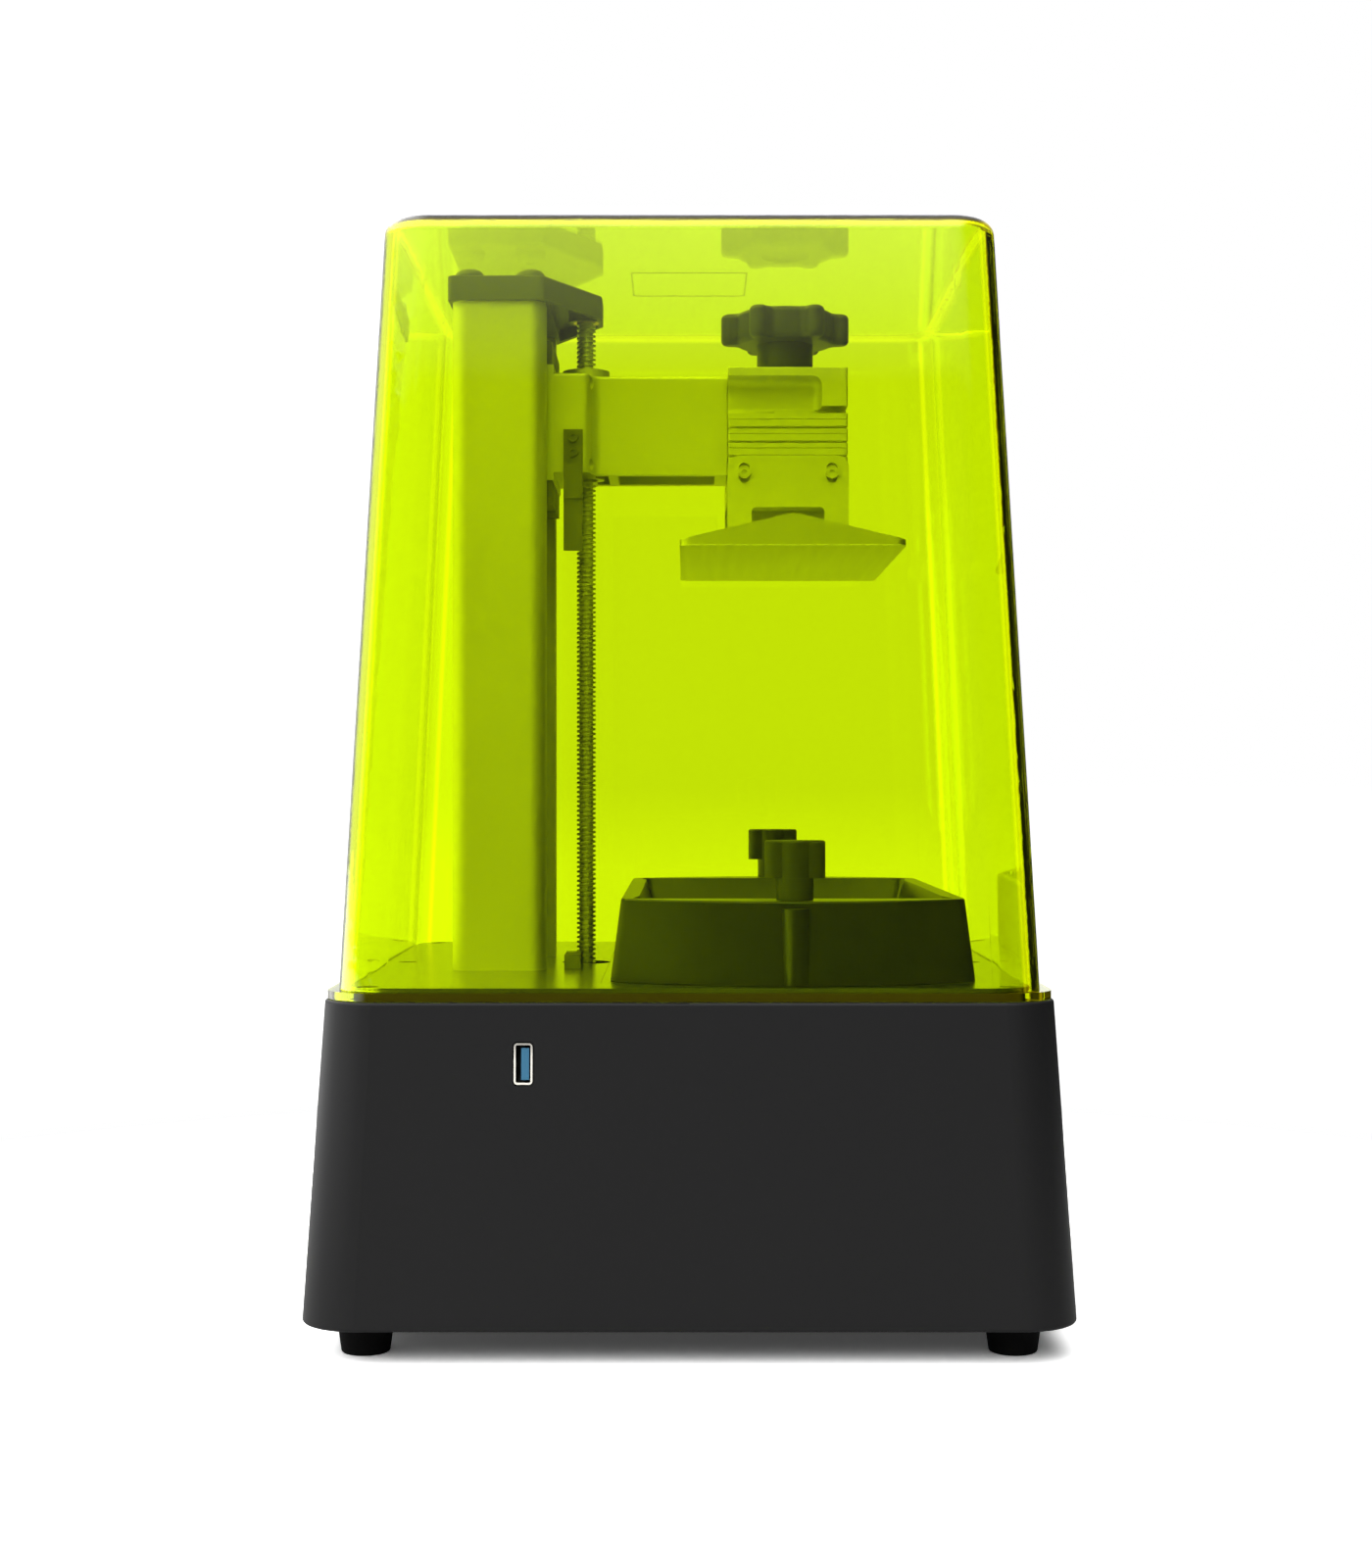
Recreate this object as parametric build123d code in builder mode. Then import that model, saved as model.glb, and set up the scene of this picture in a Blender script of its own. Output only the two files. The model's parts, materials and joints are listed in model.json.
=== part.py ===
from build123d import *
import os
from math import atan, cos, radians, sin, tan

os.makedirs("parts", exist_ok=True)

# Resin printer, in millimetres. +X is the front, where the build plate hangs, and +Z is up.
# The origin is the centre of the base on the surface that the feet stand on.

# ---------------------------------------------------------------- clearances
slide_gap = 0.3  # between pieces that move past each other
seat_gap = 0.2  # under a piece that lifts off its seat
run_gap = 0.05  # radial, a shaft in its bore
screw_gap = 0.1  # radial, a fixed screw in its hole
fit_gap = 0.15  # around a fixed piece that drops into a recess
cut_margin = 1.0  # how far a cut passes beyond the wall it goes through
fillet_limit = 0.95  # share of a short wall that its fillets may take
pick_reach = 0.1  # how near a level an edge lies to be picked by it

# ---------------------------------------------------------------- base
foot_height = 13.0
foot_top_dia = 22.0
foot_bottom_dia = 18.3
foot_round = 1.0
foot_inset_x = 23.0
foot_inset_y = 27.0
base_width = 290.0
base_height = 120.0
base_corner = 22.0
base_lean = 7.7  # each wall leans in by this much, up to the rim
rim_corner = 20.0
rim_round = 1.2
shell_wall = 3.0
step_inset = 8.8
step_height = 3.1
step_corner = 16.5
bottom_thickness = 1.5
post_offset = 64.0
post_width = 10.0
post_depth = 14.0
post_height = 15.0

# ---------------------------------------------------------------- deck and screen
deck_overhang = 0.5
deck_thickness = 1.5
deck_corner = 17.0
deck_screw_inset_x = 8.5
deck_screw_inset_y = 7.0
deck_screw_dia = 5.0
deck_screw_head = 8.0
deck_screw_length = 5.5
lcd_front_margin = 15.15  # from the deck's front edge
lcd_setback = 10.15  # from the lead screw's axis
lcd_end_margin = 24.0
lcd_corner = 2.0
lcd_recess = 1.0
screen_side = 23.85  # width of the frame beside the screen
screen_end = 19.0
screen_sink = 0.2
light_side = 3.0
light_end = 3.5

# ---------------------------------------------------------------- light engine
led_pitch = 16.0
led_rows = 4
led_columns = 7
led_size = 5.0
led_height = 1.6
board_thickness = 1.6
led_board_margin = 15.0
led_screw_inset = 4.0
lens_dia = 14.7
lens_tray_inset = 1.0
lens_tray_end = 11.0
lens_height = 4.5
lens_thickness = 2.0
lens_dome = 2.4
lens_leg_dia = 5.0
light_wall = 2.0
light_box_height = 64.0
light_flange = 9.0
light_flange_thickness = 3.5
light_foot_thickness = 3.0
sink_base = 5.0
sink_fin_height = 26.0
sink_fin_thickness = 1.8
sink_fins = 11

# ---------------------------------------------------------------- small pan head screws
m3_dia = 3.0
m3_head = 5.6
m3_head_height = 2.0
m3_length = 5.0
m3_socket = 2.0
m3_sunk_head = 5.4

# ---------------------------------------------------------------- column
screw_x = -44.0  # axis of the lead screw
screw_to_column = 15.0
column_depth = 38.0
column_width = 93.0
column_height = 273.4
column_corner = 6.0
column_wall = 3.5
channel_width = 62.0
channel_depth = 13.5
port_dia = 4.2
port_inset = 6.5
port_span = 72.0
column_bolt_length = 18.0
column_bolt_head = 8.4
column_bolt_head_height = 4.5
cap_thickness = 10.0
cap_overhang = 1.4
cap_setback = 0.5
cap_chamfer = 0.6
cap_width = 97.0
cap_nose = 22.5
cap_nose_width = 16.0
cap_lip = 2.0
cap_recess = 5.0
cap_screw_head = 12.5
cap_screw_head_height = 4.6
cap_screw_length = 22.0
bush_dia = 11.0
bush_length = 8.0

# ---------------------------------------------------------------- rails and sliders
rail_width = 12.0
rail_height = 10.0
rail_span = 28.5
rail_length = 264.0
rail_lift = 7.0
rail_screw_pitch = 40.0
rail_screw_count = 7
rail_screw_dia = 3.5
rail_screw_head = 6.0
rail_screw_length = 11.0
slider_width = 26.0
slider_height = 16.0
slider_depth = 13.5
slider_body = 48.1
slider_cap = 9.95
slider_cap_inset = 0.5

# ---------------------------------------------------------------- lead screw and motor
lead_dia = 8.0
lead_sink = 2.0
lead_chamfer = 1.0
deck_hole_dia = 20.6
coupling_dia = 18.0
coupling_length = 25.0
coupling_lift = 4.5
coupling_split = 0.6
coupling_chamfer = 0.6
shaft_dia = 5.0
motor_size = 42.3
motor_height = 40.0
motor_corner = 4.0
motor_pilot_dia = 22.0
motor_pilot = 2.0
motor_floor = 2.0
motor_plug_depth = 5.0
motor_plug_width = 16.0
motor_plug_height = 9.0
motor_screw_span = 31.0
motor_drop = 33.1
bracket_plate = 3.0
bracket_leg_gap = 3.5
bracket_flange = 11.0
bracket_leg_width = 28.0
bracket_screw_span = 16.0

# ---------------------------------------------------------------- lifting arm
arm_drop = 67.3  # from the column's top to the arm's underside
arm_height = 41.5
arm_block_depth = 15.5
arm_block_width = 54.4
arm_beam_width = 37.0
arm_blend = 4.0
arm_round = 1.5
arm_corner = 3.5
arm_wall = 5.0
arm_rib = 4.0
arm_pocket_depth = 30.0
arm_front_pocket = 41.0
arm_back_pocket = 5.5
nut_flange_dia = 20.0
nut_flange = 4.8
nut_barrel_dia = 10.2
nut_length = 30.0
nut_wall = 2.6
nut_screw_circle = 14.8
nut_screw_dia = 2.5
nut_screw_head = 4.4
nut_screw_depth = 8.0
arm_screw_dia = 3.0
arm_screw_head = 5.5
arm_screw_span_y = 45.6
arm_screw_span_z = 34.0
arm_screw_recess = 4.5
arm_screw_length = 15.5
tongue_width = 28.0
tongue_height = 24.0
tongue_lift = 8.3
tongue_length = 42.0
tongue_chamfer = 1.0
flag_width = 8.0
flag_thickness = 2.0
flag_blade = 1.0
flag_top = 17.5
flag_shoulder = 11.2
flag_drop = 32.8
flag_screw_pitch = 6.2
sensor_width = 6.6
sensor_length = 21.0
sensor_height = 5.7
sensor_slot = 3.2
sensor_slot_depth = 3.6
sensor_setback = 3.0

# ---------------------------------------------------------------- platform
platform_offset = 1.0  # from the middle of the vat
holder_depth = 49.6
holder_width = 61.4
holder_top = 43.1
holder_bottom = -9.7
holder_round = 0.4
holder_corner = 0.8
holder_pocket_length = 39.0
holder_pocket_height = 15.7
holder_pocket_depth = 12.0
holder_pocket_lift = 23.9
holder_pocket_corner = 4.0
holder_slot_height = 3.1
groove_depth = 1.4
groove_height = 1.2
groove_pitch = 5.95
groove_lift = 6.15
groove_count = 3
fine_groove = 0.45
fine_groove_lift = 3.4
knob_dia = 54.5
knob_core_dia = 42.4
knob_lobes = 6
knob_lobe_dia = 8.4
knob_valley = 3.0
knob_height = 13.3
knob_round = 2.2
knob_dish_dia = 20.0
knob_dish = 1.0
hub_dia = 23.8
hub_height = 14.2
clamp_dia = 8.0
clamp_grip = 9.0
pad_dia = 15.0
pad_height = 3.0
pad_travel = 2.5
pad_chamfer = 0.5
bracket_thickness = 2.0
level_width = 50.2
level_height = 37.8
level_corner = 5.0
level_bend = 3.0
slot_span = 36.3
slot_length = 8.3
slot_width = 4.6
slot_drop = 7.2
window_width = 30.1
window_height = 13.0
window_corner = 1.7
window_drop = 21.4
button_head = 5.2
button_head_height = 2.2
button_dia = 3.0
button_length = 9.0

# ---------------------------------------------------------------- build plate
plate_drop = 35.9  # from the arm's underside to the printing face
plate_side = 5.25  # the screen's width beyond the plate
plate_end = 7.3
plate_rim = 2.4
plate_ridge = 13.0
plate_corner = 4.5
plate_seat = 4.2
plate_screw_dia = 4.0
plate_screw_head = 7.0
plate_screw_head_height = 2.4
plate_screw_length = 5.0
plate_screw_socket = 3.0
plate_hole_depth = 3.4
plate_screw_span_x = 32.0
plate_screw_span_y = 36.0

# ---------------------------------------------------------------- vat
vat_height = 31.8
vat_side = 3.35  # the screen frame's width beyond the vat's foot
vat_end = 5.5  # the deck's length beyond the vat's foot
vat_bow = 24.2  # how far each end bulges beyond the straight sides
vat_lean_x = 4.2
vat_lean_y = 2.5
vat_corner = 7.0
vat_round = 0.8
vat_wall = 6.7
vat_mouth_margin = 12.5  # beyond the screen's ends
vat_well_flare = 2.8
vat_well_straight = 0.8  # share of the well's length that has straight sides
vat_well_corner = 4.0
vat_floor_margin = 2.0
vat_floor_thickness = 2.0
vat_pocket_offset = 21.0
vat_pocket_inset = 15.5
vat_pocket_width = 24.0
vat_pocket_length = 8.0
vat_pocket_height = 24.0
vat_boss_dia = 10.6
vat_boss_inset = 3.0
vat_boss_height = 29.0
film_thickness = 0.2
film_clamp_thickness = 2.0
film_clamp_width = 12.0
film_screw_dia = 2.5
film_screw_head = 4.6
film_screw_length = 6.5
film_screws_long = 6
film_screws_short = 4
film_hole_cap = 1.0
thumb_inset = 10.5
thumb_dia = 6.0
thumb_stem_dia = 14.0
thumb_stem = 8.3
thumb_wing = 23.0
thumb_wing_thickness = 8.0
thumb_head = 14.3
thumb_head_dia = 13.0
thumb_reach = 6.0
thumb_round = 1.0

# ---------------------------------------------------------------- cover
cover_wall = 3.0
cover_inset = 0.8
cover_flange_corner = 20.0
cover_flange = 3.6
cover_foot_corner = 20.0
cover_lean = 15.9
cover_top_corner = 18.0
cover_headroom = 1.4  # over the column's screws
cover_round = 6.0
cover_panel_width = 49.0
cover_panel_length = 46.0
cover_panel_corner = 3.0
cover_panel_groove = 0.8
cover_panel_depth = 0.5

# ---------------------------------------------------------------- sockets, switch, display, fan
usb_offset = 76.0  # from the rim's rear edge
usb_drop = 22.4  # from the rim to the middle of the socket
usb_width = 6.9
usb_height = 15.2
usb_wall = 0.7
usb_depth = 15.0
usb_corner = 1.3
usb_margin = 0.5
usb_pad = 3.0
usb_flange = 1.5
usb_screw_span = 26.0
usb_tongue_width = 2.9
usb_tongue_height = 11.7
usb_tongue_shift = 0.7
usb_tongue_sink = 0.8
rear_lift = 62.0  # middle of the rear wall's fan, switch and power inlet
fan_inset = 83.0
fan_size = 60.0
fan_corner = 3.0
fan_depth = 15.0
fan_bore = 57.0
fan_hub_dia = 24.0
fan_screw_span = 50.0
fan_struts = 3
fan_strut_width = 4.0
fan_blades = 7
fan_blade_gap = 1.0
fan_blade_root = 1.0
fan_blade_width = 13.0
fan_blade_thickness = 1.4
fan_blade_pitch = 35.0
fan_rotor_setback = 1.0
fan_axle_dia = 3.0
fan_axle_setback = 2.0
fan_plate = 2.5
vent_slots = 8
vent_pitch = 6.0
vent_slot_width = 3.0
vent_slot_length = 46.0
jack_spacing = 35.0  # from the switch
jack_flange_dia = 15.0
jack_body_dia = 12.0
jack_flange = 1.5
jack_depth = 15.0
jack_bore_dia = 6.2
jack_pin_dia = 2.0
jack_bore_depth = 10.0
switch_inset = 70.0
switch_length = 21.0
switch_width = 13.0
switch_rim = 1.5
switch_depth = 16.0
rocker_length = 17.0
rocker_width = 9.6
rocker_drop = 3.0
rocker_rise = 1.2
rocker_tilt = 7.0
rocker_play = 0.9
rocker_room = 2.5
rocker_pin_dia = 3.0
rocker_pin_seat = 0.7
display_lift = 65.0
glass_width = 96.0
glass_height = 62.0
glass_thickness = 1.5
glass_corner = 3.0
display_width = 86.0
display_height = 52.0
display_board_width = 112.0
display_board_height = 60.0
display_boss = 5.0
display_boss_dia = 7.0
display_screw_span_x = 104.0
display_screw_span_y = 40.0
main_board_inset_x = 83.0
main_board_inset_y = 73.0
main_board_width = 118.0
main_board_length = 84.0
main_board_lift = 7.5
main_screw_inset = 5.0
standoff_dia = 6.5
chip_width = 20.0
driver_width = 14.0
regulator_width = 9.0
regulator_length = 12.0
chip_height = 1.6
chip_spacing = 17.0
socket_width = 12.0
socket_depth = 6.0
socket_height = 9.0
socket_count = 5
capacitor_dia = 8.0
capacitor_height = 11.0
capacitor_spacing = 12.0
capacitor_count = 3

# ---------------------------------------------------------------- levels and places
rim_width = base_width - 2 * base_lean
step_width = rim_width - 2 * step_inset
foot_span_x = base_width - 2 * foot_inset_x
foot_span_y = base_width - 2 * foot_inset_y
deck_width = step_width + 2 * deck_overhang
deck_screw_x = deck_width / 2 - deck_screw_inset_x
deck_screw_y = deck_width / 2 - deck_screw_inset_y
vat_foot_length = deck_width - 2 * vat_end
vat_rim_length = vat_foot_length - 2 * vat_lean_y
thumb_span = vat_foot_length - 2 * thumb_inset
lcd_front = deck_width / 2 - lcd_front_margin
lcd_back = screw_x + lcd_setback
lcd_width = lcd_front - lcd_back
lcd_length = deck_width - 2 * lcd_end_margin
screen_width = lcd_width - 2 * screen_side
screen_length = lcd_length - 2 * screen_end
light_width = screen_width - 2 * light_side
light_length = screen_length - 2 * light_end
vat_x = (lcd_front + lcd_back) / 2  # middle of the vat and of the screen
platform_x = vat_x + platform_offset
plate_width = screen_width - 2 * plate_side
plate_length = screen_length - 2 * plate_end
vat_foot_width = lcd_width - 2 * vat_side
vat_rim_width = vat_foot_width - 2 * vat_lean_x
vat_mouth_width = vat_rim_width - 2 * vat_wall
vat_mouth_length = screen_length + 2 * vat_mouth_margin
vat_floor_width = screen_width + 2 * vat_floor_margin
vat_floor_length = screen_length + 2 * vat_floor_margin
cover_flange_width = rim_width - 2 * cover_inset
cover_foot_width = cover_flange_width - 2 * cover_flange
cover_top_width = cover_foot_width - 2 * cover_lean
usb_x = usb_offset - rim_width / 2
fan_y = fan_inset - base_width / 2
switch_y = base_width / 2 - switch_inset
jack_y = switch_y - jack_spacing
main_board_x = main_board_inset_x - base_width / 2
main_board_y = main_board_inset_y - base_width / 2

base_z = foot_height
rim_z = base_z + base_height
step_z = rim_z + step_height
panel_z = step_z - shell_wall  # underside of the base's top panel
deck_z = step_z + deck_thickness
draft = atan(base_lean / base_height)
lcd_z = step_z - lcd_recess
usb_z = rim_z - usb_drop
rear_z = base_z + rear_lift
display_z = base_z + display_lift

column_front = screw_x - screw_to_column
column_back = column_front - column_depth
column_x = (column_front + column_back) / 2
column_top = deck_z + column_height
channel_floor = column_front - channel_depth
rail_face = channel_floor + rail_height
slider_face = channel_floor + slider_height
slider_back = slider_face - slider_depth
port_x = (column_back + port_inset, column_front - port_inset)
port_points = [(x, y) for x in port_x for y in (-port_span / 2, port_span / 2)]

motor_z = panel_z - motor_drop  # mounting face of the motor
coupling_z = motor_z + coupling_lift
lead_z = coupling_z + coupling_length / 2 + coupling_split / 2
lead_top = column_top + cap_thickness - lead_sink

arm_z = column_top - arm_drop
arm_top = arm_z + arm_height
arm_shoulder = (arm_block_width - arm_beam_width) / 2
arm_fillet_share = min(1, fillet_limit * arm_shoulder / (arm_blend + arm_corner))
block_front = slider_face + arm_block_depth
holder_back = platform_x - holder_depth / 2
holder_front = platform_x + holder_depth / 2
beam_end = holder_back - slide_gap
tongue_z = arm_z + tongue_lift
tongue_top = tongue_z + tongue_height
holder_z = arm_z + holder_bottom
holder_top_z = arm_z + holder_top
hub_z = holder_top_z + slide_gap
knob_z = hub_z + hub_height
pad_z = tongue_top + slide_gap
plate_z = arm_z - plate_drop

vat_z = deck_z + seat_gap
vat_rim_z = vat_z + vat_height
film_z = vat_z + film_clamp_thickness
vat_floor_z = film_z + film_thickness + vat_floor_thickness
cover_z = rim_z + slide_gap
cover_top = column_top + cap_thickness + cap_screw_head_height + cover_headroom + cover_wall

led_board_width = (led_rows - 1) * led_pitch + 2 * led_board_margin
led_board_length = (led_columns - 1) * led_pitch + 2 * led_board_margin
light_box_z = panel_z - light_box_height
sink_length = led_board_length + 2 * light_wall + 2 * fit_gap + 2 * light_flange


def wall_half(z):
    """Half the base's outer width at height z."""
    return base_width / 2 - (z - base_z) * tan(draft)


def corners(x, y):
    """The four corners of a rectangle, x by y, about the origin."""
    return [(i * x / 2, j * y / 2) for i in (-1, 1) for j in (-1, 1)]


def shifted(points, x, y):
    """The same points, moved by x and y."""
    return [(px + x, py + y) for px, py in points]


# Outer faces of the leaning side walls: local y runs up the wall and local z points out of it.
side_wall = Plane(
    origin=(usb_x, -wall_half(usb_z), usb_z), x_dir=(1, 0, 0), z_dir=(0, -cos(draft), sin(draft))
)
front_wall = Plane(
    origin=(wall_half(display_z), 0, display_z), x_dir=(0, 1, 0), z_dir=(cos(draft), 0, sin(draft))
)
rear_wall = Plane(
    origin=(-wall_half(rear_z), 0, rear_z), x_dir=(0, -1, 0), z_dir=(-cos(draft), 0, sin(draft))
)


def discs(seat, points, dia):
    """A sketch of equal discs on the seat plane."""
    with BuildSketch(seat) as sketch:
        with Locations(*points):
            Circle(dia / 2)
    return sketch.sketch


def hexagons(seat, points, across):
    """A sketch of equal hexagons on the seat plane."""
    with BuildSketch(seat) as sketch:
        with Locations(*points):
            RegularPolygon(across / 2, 6, major_radius=False)
    return sketch.sketch


def cut_holes(seat, points, dia, depth):
    """Round holes cut into the part under construction, below the seat plane."""
    extrude(discs(seat, points, dia), amount=-depth, mode=Mode.SUBTRACT)


def cap_screws_on(seat, points, dia, length, head, head_height, socket):
    """Screws whose heads stand on the seat plane and whose shanks go below it."""
    extrude(discs(seat, points, dia), amount=-length)
    extrude(discs(seat, points, head), amount=head_height)
    sockets = hexagons(seat.offset(head_height), points, socket)
    extrude(sockets, amount=-head_height / 2, mode=Mode.SUBTRACT)


def sunk_screws_on(seat, points, dia, length, head):
    """Countersunk screws whose flat heads lie in the seat plane."""
    cone = (head - dia) / 2
    with Locations(*[seat * Location((x, y, -cone / 2)) for x, y in points]):
        Cone(dia / 2, head / 2, cone)
    extrude(discs(seat.offset(-cone), points, dia), amount=cone - length)
    extrude(hexagons(seat, points, dia / 2), amount=-cone / 2, mode=Mode.SUBTRACT)


def cut_sunk_holes(seat, points, dia, head, depth):
    """Countersunk holes for sunk_screws_on, with the screw clearance all round."""
    cone = (head - dia) / 2
    top = head / 2 + screw_gap
    with Locations(*[seat * Location((x, y, -cone / 2)) for x, y in points]):
        Cone(dia / 2 + screw_gap, top, cone, mode=Mode.SUBTRACT)
    cut_holes(seat, points, dia + 2 * screw_gap, depth)


# ---------------------------------------------------------------- where the small screws go
m3_hole = m3_dia + 2 * screw_gap
post_reach = base_width / 2 - shell_wall / 2 - post_depth / 2
post_points = [(i * post_reach, j * post_offset) for i in (-1, 1) for j in (-1, 1)]
post_points += [(y, x) for x, y in post_points]
bracket_leg = motor_size / 2 + bracket_leg_gap
bracket_flange_y = bracket_leg + bracket_plate + bracket_flange / 2
bracket_points = shifted(corners(bracket_screw_span, 2 * bracket_flange_y), screw_x, 0)
motor_points = shifted(corners(motor_screw_span, motor_screw_span), screw_x, 0)
main_points = shifted(
    corners(main_board_width - 2 * main_screw_inset, main_board_length - 2 * main_screw_inset),
    main_board_x,
    main_board_y,
)
fan_points = shifted(corners(fan_screw_span, fan_screw_span), -fan_y, 0)
display_points = corners(display_screw_span_x, display_screw_span_y)
usb_points = [(0, -usb_screw_span / 2), (0, usb_screw_span / 2)]
light_flange_x = light_width / 2 + light_wall + light_flange / 2
light_points = shifted(corners(2 * light_flange_x, light_length / 2), vat_x, 0)
sink_screw_y = led_board_length / 2 + fit_gap + light_wall + light_flange / 2
sink_points = shifted(corners(led_board_width / 2, 2 * sink_screw_y), vat_x, 0)
led_screw_span = (led_board_width - 2 * led_screw_inset, led_board_length - 2 * led_screw_inset)
led_points = shifted(corners(*led_screw_span), vat_x, 0)
deck_points = [(x, y) for x in (-deck_screw_x, deck_screw_x) for y in (-deck_screw_y, 0, deck_screw_y)]
thumb_points = [(vat_x, -thumb_span / 2), (vat_x, thumb_span / 2)]
rail_points = [
    (y, deck_z + rail_lift + rail_length / 2 + (n - (rail_screw_count - 1) / 2) * rail_screw_pitch)
    for y in (-rail_span / 2, rail_span / 2)
    for n in range(rail_screw_count)
]

# ================================================================ base
with BuildPart() as base_housing:
    with BuildSketch(Plane.XY.offset(base_z)):
        RectangleRounded(base_width, base_width, base_corner)
    with BuildSketch(Plane.XY.offset(rim_z)):
        RectangleRounded(rim_width, rim_width, rim_corner)
    loft()
    fillet(base_housing.faces().sort_by(Axis.Z)[-1].edges(), rim_round)
    fillet(base_housing.faces().sort_by(Axis.Z)[0].edges(), rim_round)
    with BuildSketch(Plane.XY.offset(rim_z)):
        RectangleRounded(step_width, step_width, step_corner)
    extrude(amount=step_height)
    # Hollow, up to the rim and then up into the step
    hollow_top = rim_z - shell_wall
    with BuildSketch(Plane.XY.offset(base_z)):
        hollow = base_width - 2 * shell_wall
        RectangleRounded(hollow, hollow, base_corner - shell_wall)
    with BuildSketch(Plane.XY.offset(hollow_top)):
        hollow = 2 * (wall_half(hollow_top) - shell_wall)
        RectangleRounded(hollow, hollow, rim_corner - shell_wall)
    loft(mode=Mode.SUBTRACT)
    with BuildSketch(Plane.XY.offset(hollow_top)):
        hollow = step_width - 2 * shell_wall
        RectangleRounded(hollow, hollow, step_corner - shell_wall)
    extrude(amount=panel_z - hollow_top, mode=Mode.SUBTRACT)
    # Posts for the bottom plate's screws
    with BuildSketch(Plane.XY.offset(base_z + bottom_thickness)):
        with Locations(*post_points[:4]):
            Rectangle(post_depth, post_width)
        with Locations(*post_points[4:]):
            Rectangle(post_width, post_depth)
    extrude(amount=post_height)
    cut_holes(Plane.XY.offset(base_z + post_height), post_points, m3_hole, post_height)
    # Top panel: screen recess, light window, and holes for what stands on or hangs from it
    with BuildSketch(Plane.XY.offset(lcd_z)):
        with Locations((vat_x, 0)):
            lcd_size = (lcd_width + 2 * fit_gap, lcd_length + 2 * fit_gap)
            RectangleRounded(*lcd_size, lcd_corner + fit_gap)
    extrude(amount=lcd_recess, mode=Mode.SUBTRACT)
    with BuildSketch(Plane.XY.offset(panel_z)):
        with Locations((vat_x, 0)):
            Rectangle(light_width, light_length)
        with Locations((screw_x, 0)):
            Circle(deck_hole_dia / 2)
        with Locations(*port_points):
            Circle(port_dia / 2 + screw_gap)
        with Locations(*thumb_points):
            Circle(thumb_dia / 2 + run_gap)
        with Locations(*bracket_points, *light_points):
            Circle(m3_hole / 2)
    extrude(amount=shell_wall, mode=Mode.SUBTRACT)
    deck_hole = deck_screw_dia + 2 * screw_gap
    cut_holes(Plane.XY.offset(step_z), deck_points, deck_hole, deck_screw_length)
    # USB socket in the side wall
    with BuildSketch(side_wall.offset(-shell_wall - usb_pad)):
        Rectangle(usb_height, usb_screw_span + 2 * m3_head)
    extrude(amount=usb_pad + shell_wall / 2)
    with BuildSketch(side_wall):
        socket_size = (usb_width + 2 * usb_margin, usb_height + 2 * usb_margin)
        RectangleRounded(*socket_size, usb_corner + usb_margin)
    extrude(amount=-shell_wall - usb_pad, mode=Mode.SUBTRACT)
    cut_holes(side_wall.offset(-shell_wall / 2), usb_points, m3_hole, shell_wall + usb_pad)
    # Touch display in the front wall
    with BuildSketch(front_wall.offset(-shell_wall - display_boss)):
        with Locations(*display_points):
            Circle(display_boss_dia / 2)
    extrude(amount=display_boss + shell_wall / 2)
    with BuildSketch(front_wall):
        RectangleRounded(glass_width + 2 * fit_gap, glass_height + 2 * fit_gap, glass_corner)
    extrude(amount=-glass_thickness, mode=Mode.SUBTRACT)
    with BuildSketch(front_wall):
        Rectangle(display_width + 2 * fit_gap, display_height + 2 * fit_gap)
    extrude(amount=-shell_wall - cut_margin, mode=Mode.SUBTRACT)
    cut_holes(front_wall.offset(-shell_wall), display_points, m3_hole, display_boss + cut_margin)
    # Fan vents, power inlet and power switch in the rear wall
    with BuildSketch(rear_wall):
        with Locations((-fan_y, 0)):
            with GridLocations(0, vent_pitch, 1, vent_slots):
                SlotOverall(vent_slot_length, vent_slot_width)
        with Locations(*fan_points):
            Circle(m3_hole / 2)
        with Locations((-jack_y, 0)):
            Circle(jack_body_dia / 2 + fit_gap)
        with Locations((-switch_y, 0)):
            Rectangle(switch_width + 2 * fit_gap, switch_length + 2 * fit_gap)
    extrude(amount=-shell_wall - cut_margin, mode=Mode.SUBTRACT)

with BuildPart() as bottom_plate:
    bottom_half = wall_half(base_z + bottom_thickness) - shell_wall - slide_gap
    with BuildSketch(Plane.XY.offset(base_z)):
        RectangleRounded(2 * bottom_half, 2 * bottom_half, base_corner - shell_wall - slide_gap)
        with Locations((vat_x, 0)):
            with GridLocations(0, vent_pitch * 2, 1, vent_slots + 1):
                SlotOverall(vent_slot_length * 1.5, vent_slot_width, mode=Mode.SUBTRACT)
    extrude(amount=bottom_thickness)
    with BuildSketch(Plane.XY.offset(base_z + bottom_thickness)):
        with Locations(*main_points):
            Circle(standoff_dia / 2)
            Circle(m3_hole / 2, mode=Mode.SUBTRACT)
    extrude(amount=main_board_lift)
    below_bottom = Plane(origin=(0, 0, base_z), x_dir=(1, 0, 0), z_dir=(0, 0, -1))
    below_points = [(x, -y) for x, y in post_points]
    cut_sunk_holes(below_bottom, below_points, m3_dia, m3_sunk_head, bottom_thickness)

with BuildPart() as rubber_feet:
    with Locations(*[(x, y, foot_height / 2) for x, y in corners(foot_span_x, foot_span_y)]):
        Cone(foot_bottom_dia / 2, foot_top_dia / 2, foot_height)
    fillet(rubber_feet.edges().filter_by(GeomType.CIRCLE).group_by(Axis.Z)[0], foot_round)

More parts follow.
